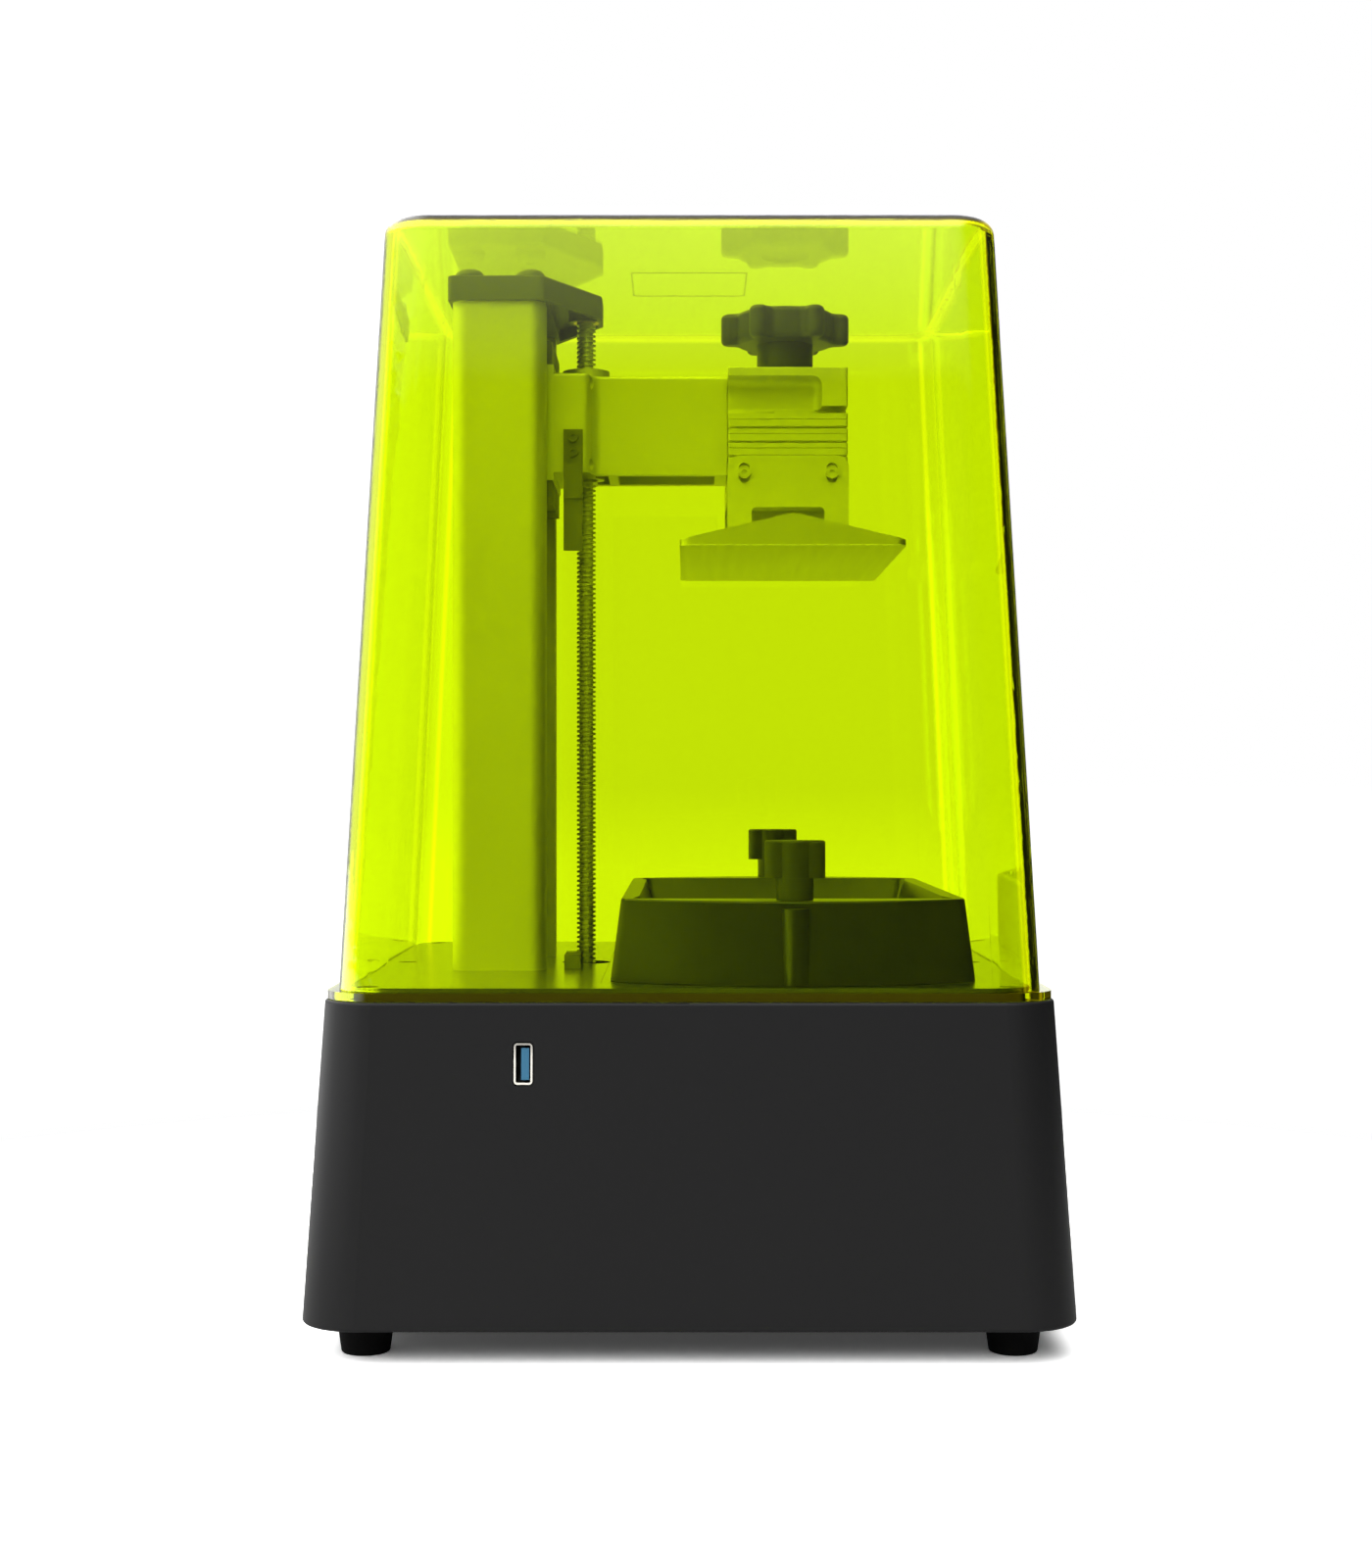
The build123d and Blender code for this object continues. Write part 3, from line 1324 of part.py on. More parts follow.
with BuildPart() as arm_screws:
    arm_bolt = (arm_screw_dia, arm_screw_length, arm_screw_head, arm_screw_dia, 0.75 * arm_screw_dia)
    cap_screws_on(Plane.YZ.offset(block_front - arm_screw_recess), arm_screw_points, *arm_bolt)

with BuildPart() as limit_flag:
    flag_plane = Plane.XZ.offset(arm_block_width / 2)
    with BuildSketch(flag_plane):
        with Locations((flag_x, arm_z + (flag_top - flag_shoulder) / 2)):
            Rectangle(flag_width, flag_top + flag_shoulder)
        with Locations(*flag_points):
            Circle(flag_hole / 2, mode=Mode.SUBTRACT)
    extrude(amount=flag_thickness)
    with BuildSketch(flag_plane):
        with Locations((flag_x, arm_z - (flag_shoulder + flag_drop) / 2)):
            Rectangle(flag_width, flag_drop - flag_shoulder)
    extrude(amount=flag_blade)

with BuildPart() as flag_screws:
    flag_bolt = (nut_screw_dia, flag_width, nut_screw_head, 0.7 * nut_screw_dia, 0.6 * nut_screw_dia)
    cap_screws_on(flag_plane.offset(flag_thickness), flag_points, *flag_bolt)

with BuildPart() as limit_sensor:
    sensor_y = -arm_block_width / 2 - flag_blade / 2
    with BuildSketch(Plane.XY.offset(deck_z)):
        with Locations((flag_x, sensor_y + sensor_setback)):
            Rectangle(sensor_width, sensor_length)
    extrude(amount=sensor_height)
    with Locations((flag_x, sensor_y, deck_z + sensor_height)):
        slot_size = (sensor_width + cut_margin, sensor_slot, 2 * sensor_slot_depth)
        Box(*slot_size, mode=Mode.SUBTRACT)

# ================================================================ platform: holder, knob, bracket, plate


def v_grooves(seat, walls, grooves):
    """Sections of V cuts: rhombs centred on walls that stand at these places on the seat plane."""
    with BuildSketch(seat) as sketch:
        for wall in walls:
            for z, height, depth in grooves:
                with BuildLine():
                    Polyline(
                        (wall - depth, z),
                        (wall, z - height / 2),
                        (wall + depth, z),
                        (wall, z + height / 2),
                        close=True,
                    )
                make_face()
    return sketch.sketch


with BuildPart() as platform_holder:
    with BuildSketch(Plane.XY.offset(holder_z)):
        with Locations((platform_x, 0)):
            RectangleRounded(holder_depth, holder_width, holder_corner)
    extrude(amount=holder_top_z - holder_z)
    fillet(platform_holder.faces().sort_by(Axis.Z)[-1].edges(), holder_round)
    # V grooves all round the lower half, with a fine line above each
    groove_zs = [arm_z + groove_lift + n * groove_pitch for n in range(groove_count)]
    grooves = [(z, groove_height, groove_depth) for z in groove_zs]
    grooves += [(z + fine_groove_lift, fine_groove, fine_groove) for z in groove_zs]
    lengthwise = v_grooves(Plane.YZ.offset(holder_back), (-holder_width / 2, holder_width / 2), grooves)
    extrude(lengthwise, amount=holder_depth, mode=Mode.SUBTRACT)
    crosswise = v_grooves(Plane.XZ.offset(-holder_width / 2), (holder_back, holder_front), grooves)
    extrude(crosswise, amount=holder_width, mode=Mode.SUBTRACT)
    # Pockets in both sides, open towards the column, with a slot on to the front
    pocket_z = arm_z + holder_pocket_lift + holder_pocket_height / 2
    slot_z = arm_z + holder_pocket_lift + holder_slot_height / 2
    reach = holder_pocket_length + holder_pocket_corner
    for side in (1, -1):
        with BuildPart(mode=Mode.PRIVATE) as pocket:
            with BuildSketch(Plane.XZ.offset(side * holder_width / 2)):
                with Locations((holder_back + holder_pocket_length - reach / 2, pocket_z)):
                    RectangleRounded(reach, holder_pocket_height, holder_pocket_corner)
            extrude(amount=-side * holder_pocket_depth)
            pocket_floor = pocket.faces().sort_by(Axis.Y)[-1 if side > 0 else 0]
            fillet(pocket_floor.edges(), 0.95 * holder_pocket_corner)
        add(pocket.part, mode=Mode.SUBTRACT)
        with BuildSketch(Plane.XZ.offset(side * holder_width / 2)):
            with Locations((holder_back + holder_pocket_length / 2 + holder_depth / 2, slot_z)):
                Rectangle(holder_depth, holder_slot_height)
        extrude(amount=-side * holder_pocket_depth, mode=Mode.SUBTRACT)
    # Way in for the arm's tongue
    with BuildSketch(Plane.YZ.offset(holder_back)):
        with Locations((0, tongue_z + tongue_height / 2)):
            Rectangle(tongue_width + 2 * slide_gap, tongue_height + 2 * slide_gap)
    extrude(amount=tongue_length, mode=Mode.SUBTRACT)
    # Room for the pressure pad, and the clamp screw's thread
    pad_room = pad_height + pad_travel + slide_gap
    with BuildSketch(Plane.XY.offset(pad_z)):
        with Locations((platform_x, 0)):
            Circle(pad_dia / 2 + slide_gap)
    extrude(amount=pad_room, mode=Mode.SUBTRACT)
    cut_holes(Plane.XY.offset(holder_top_z), [(platform_x, 0)], clamp_dia + 2 * run_gap, holder_top / 2)
    # Threads for the bracket's screws
    level_top = plate_z + plate_seat + level_height
    button_z = level_top - slot_drop
    button_points = [(platform_x - slot_span / 2, button_z), (platform_x + slot_span / 2, button_z)]
    button_hole = button_dia + 2 * screw_gap
    for side in (1, -1):
        with BuildSketch(Plane.XZ.offset(side * holder_width / 2)):
            with Locations(*button_points):
                Circle(button_hole / 2)
        extrude(amount=-side * button_length, mode=Mode.SUBTRACT)

level_inner = holder_width / 2 + slide_gap
level_outer = level_inner + bracket_thickness
with BuildPart() as bracket_screws:
    for side in (1, -1):
        with BuildSketch(Plane.XZ.offset(side * (level_outer + run_gap))):
            with Locations(*button_points):
                Circle(button_head / 2)
        extrude(amount=side * button_head_height)
        with BuildSketch(Plane.XZ.offset(side * (level_outer + run_gap))):
            with Locations(*button_points):
                Circle(button_dia / 2)
        extrude(amount=-side * button_length)
        with BuildSketch(Plane.XZ.offset(side * (level_outer + run_gap + button_head_height))):
            with Locations(*button_points):
                RegularPolygon(button_dia / 3, 6, major_radius=False)
        extrude(amount=-side * button_head_height / 2, mode=Mode.SUBTRACT)

with BuildPart() as clamp_screw:
    screw_bottom = pad_z + pad_height + slide_gap
    screw_length = knob_z + clamp_grip - screw_bottom
    with Locations((platform_x, 0, screw_bottom)):
        Cylinder(clamp_dia / 2, screw_length, align=(Align.CENTER, Align.CENTER, Align.MIN))

with BuildPart() as clamp_knob:
    with BuildSketch(Plane.XY.offset(knob_z)) as knob_outline:
        with Locations((platform_x, 0)):
            lobe_ring = (knob_dia - knob_lobe_dia) / 2
            Circle(knob_core_dia / 2)
            with PolarLocations(lobe_ring, knob_lobes):
                Circle(knob_lobe_dia / 2)
        fillet(knob_outline.vertices(), knob_valley)
    extrude(amount=knob_height)
    fillet(clamp_knob.faces().sort_by(Axis.Z)[-1].edges(), knob_round)
    fillet(clamp_knob.faces().sort_by(Axis.Z)[0].edges(), knob_round)
    with BuildSketch(Plane.XY.offset(hub_z)):
        with Locations((platform_x, 0)):
            Circle(hub_dia / 2)
    extrude(amount=hub_height)
    cut_holes(Plane.XY.offset(knob_z + knob_height), [(platform_x, 0)], knob_dish_dia, knob_dish)
    with BuildSketch(Plane.XY.offset(hub_z)):
        with Locations((platform_x, 0)):
            Circle(clamp_dia / 2 + run_gap)
    extrude(amount=hub_height + clamp_grip, mode=Mode.SUBTRACT)

with BuildPart() as pressure_pad:
    with BuildSketch(Plane.XY.offset(pad_z)):
        with Locations((platform_x, 0)):
            Circle(pad_dia / 2)
    extrude(amount=pad_height)
    chamfer(pressure_pad.edges().filter_by(GeomType.CIRCLE), pad_chamfer)

level_z = plate_z + plate_seat
plate_points = shifted(corners(plate_screw_span_x, plate_screw_span_y), platform_x, 0)
with BuildPart() as level_bracket:
    with BuildSketch(Plane.YZ.offset(platform_x - level_width / 2)):
        with Locations((0, level_z + level_height / 2)):
            Rectangle(2 * level_outer, level_height)
        with Locations((0, level_z + bracket_thickness + level_height / 2)):
            Rectangle(2 * level_inner, level_height, mode=Mode.SUBTRACT)
    extrude(amount=level_width)
    along = level_bracket.edges().filter_by(Axis.X)
    fillet(along.group_by(Axis.Z)[0], level_bend)
    level_floor = level_z + bracket_thickness
    inside = level_bracket.edges().filter_by(Axis.X).filter_by_position(
        Axis.Z, level_floor - pick_reach, level_floor + pick_reach
    )
    level_reach = level_inner + pick_reach
    fillet(inside.filter_by_position(Axis.Y, -level_reach, level_reach), level_bend / 3)
    tops = level_bracket.edges().filter_by(Axis.Y).group_by(Axis.Z)[-1]
    fillet(tops, level_corner)
    window_z = level_top - window_drop - window_height / 2
    for side in (1, -1):
        with BuildSketch(Plane.XZ.offset(side * level_outer)):
            with Locations((platform_x, window_z)):
                RectangleRounded(window_width, window_height, window_corner)
            with Locations(*button_points):
                SlotOverall(slot_length, slot_width, rotation=90)
        extrude(amount=-side * bracket_thickness, mode=Mode.SUBTRACT)
    plate_hole = plate_screw_dia + 2 * screw_gap
    cut_holes(Plane.XY.offset(level_z + bracket_thickness), plate_points, plate_hole, bracket_thickness)

with BuildPart() as build_plate:
    with BuildSketch(Plane.XZ):
        with BuildLine():
            half = plate_width / 2
            Polyline(
                (platform_x - half, plate_z),
                (platform_x + half, plate_z),
                (platform_x + half, plate_z + plate_rim),
                (platform_x, plate_z + plate_ridge),
                (platform_x - half, plate_z + plate_rim),
                close=True,
            )
        make_face()
    extrude(amount=plate_length / 2, both=True)
    fillet(build_plate.edges().filter_by(Axis.Z), plate_corner)
    # Seat for the bracket, cut flat into the roof
    with BuildSketch(Plane.XY.offset(level_z)):
        with Locations((platform_x, 0)):
            seat_size = (level_width + 2 * slide_gap, 2 * level_outer + 2 * slide_gap)
            Rectangle(*seat_size)
    extrude(amount=plate_ridge, mode=Mode.SUBTRACT)
    cut_holes(Plane.XY.offset(level_z), plate_points, plate_hole, plate_hole_depth)

with BuildPart() as plate_screws:
    head_height = plate_screw_head_height
    plate_bolt = (plate_screw_dia, plate_screw_length, plate_screw_head, head_height, plate_screw_socket)
    cap_screws_on(Plane.XY.offset(level_z + bracket_thickness), plate_points, *plate_bolt)

# ================================================================ vat
film_width = screen_width + 2 * film_clamp_width
film_length = screen_length + 2 * film_clamp_width
film_points = []
for n in range(film_screws_long):
    y = (n - (film_screws_long - 1) / 2) * (screen_length / film_screws_long)
    film_points += [(side * (screen_width + film_clamp_width) / 2, y) for side in (-1, 1)]
for n in range(film_screws_short):
    x = (n - (film_screws_short - 1) / 2) * (screen_width / film_screws_short)
    film_points += [(x, side * (screen_length + film_clamp_width) / 2) for side in (-1, 1)]
film_points = shifted(film_points, vat_x, 0)



def vat_outline(z, width, length):
    """The vat's plan at height z: straight sides, and ends bowed out to the full length."""
    half, straight = width / 2, vat_foot_length / 2 - vat_bow
    with BuildSketch(Plane.XY.offset(z)) as sketch:
        with BuildLine():
            Line((vat_x + half, -straight), (vat_x + half, straight))
            ThreePointArc((vat_x + half, straight), (vat_x, length / 2), (vat_x - half, straight))
            Line((vat_x - half, straight), (vat_x - half, -straight))
            ThreePointArc((vat_x - half, -straight), (vat_x, -length / 2), (vat_x + half, -straight))
        make_face()
        fillet(sketch.vertices(), vat_corner)
    return sketch.sketch


def well_outline(z, width, length):
    """The resin well's plan at height z: its sides flare a little towards both ends."""
    half, end = width / 2, length / 2
    wide, straight = half + vat_well_flare, vat_well_straight * end
    right = [(wide, -end), (half, -straight), (half, straight), (wide, end)]
    left = [(-x, -y) for x, y in right]
    with BuildSketch(Plane.XY.offset(z)) as sketch:
        with BuildLine():
            Polyline(*shifted(right + left, vat_x, 0), close=True)
        make_face()
        fillet(sketch.vertices(), vat_well_corner)
    return sketch.sketch


with BuildPart() as vat_frame:
    vat_foot = vat_outline(vat_z, vat_foot_width, vat_foot_length)
    loft([vat_foot, vat_outline(vat_rim_z, vat_rim_width, vat_rim_length)])
    fillet(vat_frame.faces().sort_by(Axis.Z)[-1].edges(), vat_round)
    boss_y = vat_foot_length / 2 - vat_boss_inset
    bosses = discs(Plane.XY.offset(vat_z), [(vat_x, -boss_y), (vat_x, boss_y)], vat_boss_dia)
    extrude(bosses, amount=vat_boss_height)
    # Resin well, with leaning walls, and the film's opening in its floor
    well_floor = well_outline(vat_floor_z, vat_floor_width, vat_floor_length)
    loft([well_floor, well_outline(vat_rim_z, vat_mouth_width, vat_mouth_length)], mode=Mode.SUBTRACT)
    with BuildSketch(Plane.XY.offset(vat_z)):
        with Locations((vat_x, 0)):
            Rectangle(screen_width, screen_length)
    extrude(amount=vat_floor_z - vat_z, mode=Mode.SUBTRACT)
    # Seat for the film and its clamp ring
    with BuildSketch(Plane.XY.offset(vat_z)):
        with Locations((vat_x, 0)):
            seat_size = (film_width + 2 * fit_gap, film_length + 2 * fit_gap)
            Rectangle(*seat_size)
    extrude(amount=film_clamp_thickness + film_thickness, mode=Mode.SUBTRACT)
    film_hole = film_screw_dia + 2 * screw_gap
    hole_top = Plane.XY.offset(vat_z + film_screw_length + film_hole_cap)
    cut_holes(hole_top, film_points, film_hole, film_screw_length)
    # Pockets under both ends, and the thumb screws' bores
    with BuildSketch(Plane.XY.offset(vat_z)):
        with Locations((vat_x, 0)):
            pocket_span = vat_foot_length - 2 * vat_pocket_inset
            with GridLocations(2 * vat_pocket_offset, pocket_span, 2, 2):
                Rectangle(vat_pocket_width, vat_pocket_length)
    extrude(amount=vat_pocket_height, mode=Mode.SUBTRACT)
    cut_holes(Plane.XY.offset(vat_rim_z), thumb_points, thumb_dia + 2 * run_gap, vat_height)

with BuildPart() as vat_film:
    with BuildSketch(Plane.XY.offset(film_z)):
        with Locations((vat_x, 0)):
            Rectangle(film_width, film_length)
        with Locations(*film_points):
            Circle(film_hole / 2, mode=Mode.SUBTRACT)
    extrude(amount=film_thickness)

with BuildPart() as film_clamp:
    with BuildSketch(Plane.XY.offset(vat_z)):
        with Locations((vat_x, 0)):
            Rectangle(film_width, film_length)
            Rectangle(screen_width, screen_length, mode=Mode.SUBTRACT)
    extrude(amount=film_clamp_thickness)
    clamp_under = Plane(origin=(0, 0, vat_z), x_dir=(1, 0, 0), z_dir=(0, 0, -1))
    film_under = [(x, -y) for x, y in film_points]
    cut_sunk_holes(clamp_under, film_under, film_screw_dia, film_screw_head, film_clamp_thickness)

with BuildPart() as film_screws:
    sunk_screws_on(clamp_under, film_under, film_screw_dia, film_screw_length, film_screw_head)


def thumb_screw(y):
    """Wing-headed screw that holds one end of the vat down on the deck."""
    with BuildPart() as screw:
        stem_z = vat_rim_z + seat_gap
        head_z = stem_z + thumb_stem
        shank = stem_z - panel_z + thumb_reach
        with BuildSketch(Plane.XY.offset(stem_z)):
            with Locations((vat_x, y)):
                Circle(thumb_dia / 2)
        extrude(amount=-shank)
        with BuildSketch(Plane.XY.offset(stem_z)):
            with Locations((vat_x, y)):
                Circle(thumb_stem_dia / 2)
        extrude(amount=thumb_stem)
        with BuildSketch(Plane.XY.offset(head_z)):
            with Locations((vat_x, y)):
                SlotOverall(thumb_wing, thumb_wing_thickness)
                Circle(thumb_head_dia / 2)
        extrude(amount=thumb_head)
        fillet(screw.faces().sort_by(Axis.Z)[-1].edges(), thumb_round)
    return screw


thumb_screw_left = thumb_screw(-thumb_span / 2)
thumb_screw_right = thumb_screw(thumb_span / 2)

# ================================================================ cover


def leaning_block(wall):
    """The cover's outer shape, or with a wall, the space inside it."""
    with BuildPart() as block:
        with BuildSketch(Plane.XY.offset(cover_z)):
            foot = cover_foot_width - 2 * wall
            RectangleRounded(foot, foot, cover_foot_corner - wall)
        with BuildSketch(Plane.XY.offset(cover_top - wall)):
            top = cover_top_width - 2 * wall
            RectangleRounded(top, top, cover_top_corner - wall)
        loft()
        fillet(block.faces().sort_by(Axis.Z)[-1].edges(), cover_round - wall)
    return block


with BuildPart() as cover:
    add(leaning_block(0).part)
    with BuildSketch(Plane.XY.offset(cover_z)):
        RectangleRounded(cover_flange_width, cover_flange_width, cover_flange_corner)
        inner_width = cover_foot_width - 2 * cover_wall
        RectangleRounded(inner_width, inner_width, cover_foot_corner - cover_wall, mode=Mode.SUBTRACT)
    extrude(amount=cover_wall)
    add(leaning_block(cover_wall).part, mode=Mode.SUBTRACT)
    # Shallow outline in the top
    with BuildSketch(Plane.XY.offset(cover_top)):
        outer_size = (cover_panel_width, cover_panel_length)
        RectangleRounded(*outer_size, cover_panel_corner)
        inner_size = [size - 2 * cover_panel_groove for size in outer_size]
        RectangleRounded(*inner_size, cover_panel_corner - cover_panel_groove, mode=Mode.SUBTRACT)
    extrude(amount=-cover_panel_depth, mode=Mode.SUBTRACT)

# ================================================================ small screws, all alike
with BuildPart() as m3_screws:
    pan = (m3_dia, m3_length, m3_head, m3_head_height, m3_socket)
    sunk_screws_on(below_bottom, below_points, m3_dia, m3_length + m3_head_height, m3_sunk_head)
    below_flange = below_bottom.offset(base_z - panel_z + bracket_plate)
    cap_screws_on(below_flange, [(x, -y) for x, y in bracket_points], *pan)
    cap_screws_on(Plane.XY.offset(motor_z + bracket_plate), motor_points, *pan)
    below_light = below_bottom.offset(base_z - panel_z + light_flange_thickness)
    cap_screws_on(below_light, [(x, -y) for x, y in light_points], *pan)
    cap_screws_on(Plane.XY.offset(light_box_z + light_foot_thickness), sink_points, *pan)
    cap_screws_on(Plane.XY.offset(led_z), led_points, *pan)
    cap_screws_on(board_top, main_points, *pan)
    cap_screws_on(rear_wall, fan_points, *pan)
    display_inside = Plane(
        origin=front_wall.offset(-board_back - board_thickness).origin,
        x_dir=(0, -1, 0),
        z_dir=-front_wall.z_dir,
    )
    cap_screws_on(display_inside, display_points, *pan)
    usb_inside = Plane(
        origin=side_wall.offset(-shell_wall - usb_pad - usb_flange).origin,
        x_dir=(-1, 0, 0),
        z_dir=-side_wall.z_dir,
    )
    cap_screws_on(usb_inside, usb_points, *pan)

# ================================================================ write every piece
pieces = {
    "base_housing": base_housing,
    "bottom_plate": bottom_plate,
    "rubber_feet": rubber_feet,
    "deck_plate": deck_plate,
    "deck_screws": deck_screws,
    "lcd_frame": lcd_frame,
    "lcd_screen": lcd_screen,
    "light_box": light_box,
    "heat_sink": heat_sink,
    "led_board": led_board,
    "uv_leds": uv_leds,
    "lens_array": lens_array,
    "mainboard": mainboard,
    "display_board": display_board,
    "touch_glass": touch_glass,
    "usb_shell": usb_shell,
    "usb_tongue": usb_tongue,
    "power_jack": power_jack,
    "power_switch_body": power_switch_body,
    "power_switch_rocker": power_switch_rocker,
    "exhaust_fan_frame": exhaust_fan_frame,
    "exhaust_fan_rotor": exhaust_fan_rotor,
    "m3_screws": m3_screws,
    "column": column,
    "column_bolts": column_bolts,
    "column_cap": column_cap,
    "cap_screws": cap_screws,
    "top_bush": top_bush,
    "rails": rails,
    "rail_screws": rail_screws,
    "sliders": sliders,
    "slider_end_caps": slider_end_caps,
    "z_motor": z_motor,
    "motor_bracket": motor_bracket,
    "motor_shaft": motor_shaft,
    "shaft_coupling": shaft_coupling,
    "lead_screw": lead_screw,
    "lead_nut": lead_nut,
    "nut_screws": nut_screws,
    "lift_arm": lift_arm,
    "arm_screws": arm_screws,
    "limit_flag": limit_flag,
    "flag_screws": flag_screws,
    "limit_sensor": limit_sensor,
    "platform_holder": platform_holder,
    "bracket_screws": bracket_screws,
    "clamp_screw": clamp_screw,
    "clamp_knob": clamp_knob,
    "pressure_pad": pressure_pad,
    "level_bracket": level_bracket,
    "build_plate": build_plate,
    "plate_screws": plate_screws,
    "vat_frame": vat_frame,
    "vat_film": vat_film,
    "film_clamp": film_clamp,
    "film_screws": film_screws,
    "thumb_screw_left": thumb_screw_left,
    "thumb_screw_right": thumb_screw_right,
    "cover": cover,
}
for label, piece in pieces.items():
    piece.part.label = label
    export_step(piece.part, f"parts/{label}.step")
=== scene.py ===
import json
from math import cos, pi, radians, sin

import bmesh
import bpy
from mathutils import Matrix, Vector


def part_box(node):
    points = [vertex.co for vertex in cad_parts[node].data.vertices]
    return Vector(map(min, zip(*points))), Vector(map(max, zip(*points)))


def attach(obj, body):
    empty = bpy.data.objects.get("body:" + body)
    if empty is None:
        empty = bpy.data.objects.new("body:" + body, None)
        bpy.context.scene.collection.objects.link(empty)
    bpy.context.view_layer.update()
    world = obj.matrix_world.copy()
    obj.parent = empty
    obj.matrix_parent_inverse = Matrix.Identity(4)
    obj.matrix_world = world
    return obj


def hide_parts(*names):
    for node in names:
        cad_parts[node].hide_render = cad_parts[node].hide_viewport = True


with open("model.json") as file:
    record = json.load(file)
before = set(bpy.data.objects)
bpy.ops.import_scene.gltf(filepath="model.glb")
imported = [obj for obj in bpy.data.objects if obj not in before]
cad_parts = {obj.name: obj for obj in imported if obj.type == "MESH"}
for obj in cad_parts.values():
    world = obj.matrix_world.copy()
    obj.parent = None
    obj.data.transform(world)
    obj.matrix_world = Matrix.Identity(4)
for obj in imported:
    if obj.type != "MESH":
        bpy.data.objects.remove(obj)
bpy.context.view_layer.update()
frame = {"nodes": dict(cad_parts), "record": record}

MM = 0.001
nodes = frame["nodes"]


# ---------------------------------------------------------------- shader maths
class Value:
    """One output socket in a shader's node tree, so that maths on it reads as maths."""

    def __init__(self, shader, socket):
        self.shader = shader
        self.socket = socket

    def __add__(self, other):
        return self.shader.maths("ADD", self, other)

    def __radd__(self, other):
        return self.shader.maths("ADD", other, self)

    def __sub__(self, other):
        return self.shader.maths("SUBTRACT", self, other)

    def __rsub__(self, other):
        return self.shader.maths("SUBTRACT", other, self)

    def __mul__(self, other):
        return self.shader.maths("MULTIPLY", self, other)

    def __rmul__(self, other):
        return self.shader.maths("MULTIPLY", other, self)

    def __truediv__(self, other):
        return self.shader.maths("DIVIDE", self, other)

    def __neg__(self):
        return self.shader.maths("MULTIPLY", self, -1.0)

    def __abs__(self):
        return self.shader.maths("ABSOLUTE", self)

    def sine(self):
        return self.shader.maths("SINE", self)

    def root(self):
        return self.shader.maths("SQRT", self)

    def greater(self, other):
        """This value or the other, whichever is greater."""
        return self.shader.maths("MAXIMUM", self, other)

    def clamped(self):
        """This value, held between 0 and 1."""
        return self.shader.node("ShaderNodeClamp", {}, {0: self})

    def rise(self, start, end):
        """0 where this value is at start, 1 where it is at end, and held beyond both."""
        return ((self - start) / (end - start)).clamped()

    def peak(self, middle, reach):
        """1 where this value is at middle, falling to 0 at reach on either side."""
        return (1.0 - abs(self - middle) / reach).clamped()

    def between(self, low, high):
        """This 0 to 1 value, stretched to run from low to high."""
        return self * (high - low) + low


class Shader:
    """A material, or the world, whose nodes are added one call at a time."""

    def __init__(self, owner):
        self.owner = owner
        owner.use_nodes = True
        self.tree = owner.node_tree
        self.tree.nodes.clear()

    def node(self, kind, settings, inputs, output=0):
        """Adds a node, makes its settings, then fills its sockets with values or links."""
        made = self.tree.nodes.new(kind)
        for name, setting in settings.items():
            setattr(made, name, setting)
        for key, value in inputs.items():
            socket = made.inputs[key]
            if isinstance(value, Value):
                self.tree.links.new(value.socket, socket)
            elif socket.type == "RGBA" and len(value) == 3:
                socket.default_value = (*value, 1)
            else:
                socket.default_value = value
        return Value(self, made.outputs[output])

    def maths(self, operation, *operands):
        return self.node("ShaderNodeMath", {"operation": operation}, dict(enumerate(operands)))

    def place(self, scale=(1, 1, 1)):
        """Where a point lies on the printer, in metres, stretched by scale."""
        spot = self.node("ShaderNodeTexCoord", {}, {}, "Object")
        return self.node("ShaderNodeVectorMath", {"operation": "MULTIPLY"}, {0: spot, 1: scale})

    def axes(self, vector):
        """The three components of a vector."""
        return [self.node("ShaderNodeSeparateXYZ", {}, {0: vector}, axis) for axis in range(3)]

    def seen_directly(self):
        """1 for what the camera sees straight, or through clear plastic without a bounce."""
        camera = self.node("ShaderNodeLightPath", {}, {}, "Is Camera Ray")
        through = self.node("ShaderNodeLightPath", {}, {}, "Is Transmission Ray")
        glossy = self.node("ShaderNodeLightPath", {}, {}, "Glossy Depth")
        diffuse = self.node("ShaderNodeLightPath", {}, {}, "Diffuse Depth")
        return camera.greater(through * (1.0 - (glossy + diffuse).clamped()))

    def noise(self, to_the_metre, detail=2, stretch=(1, 1, 1)):
        """Smooth noise from 0 to 1, with so many blots to the metre."""
        inputs = {"Vector": self.place(stretch), "Scale": to_the_metre, "Detail": detail}
        return self.node("ShaderNodeTexNoise", {}, inputs)

    def mix(self, mask, low, high):
        """The colour low where mask is 0 and high where it is 1."""
        return self.node("ShaderNodeMix", {"data_type": "RGBA"}, {0: mask, 6: low, 7: high}, 2)

    def bump(self, height, depth, strength=1.0):
        """A normal tilted by a 0 to 1 height, depth metres deep."""
        inputs = {"Height": height, "Distance": depth, "Strength": strength}
        return self.node("ShaderNodeBump", {}, inputs)

    def finish(self, shading, kind="ShaderNodeOutputMaterial"):
        """Ends the tree with its output node, and returns the material or world."""
        out = self.tree.nodes.new(kind)
        self.tree.links.new(shading.socket, out.inputs["Surface"])
        return self.owner


def principled(name, recipe):
    """A material with one Principled shader, whose sockets come from recipe(shader)."""
    shader = Shader(bpy.data.materials.new(name))
    inputs = recipe(shader)
    return shader.finish(shader.node("ShaderNodeBsdfPrincipled", {}, inputs))


# ---------------------------------------------------------------- where things are
lead_low, lead_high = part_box("lead_screw")
cover_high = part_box("cover")[1]
plate_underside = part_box("build_plate")[0].z
socket_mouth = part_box("usb_shell")[0].y


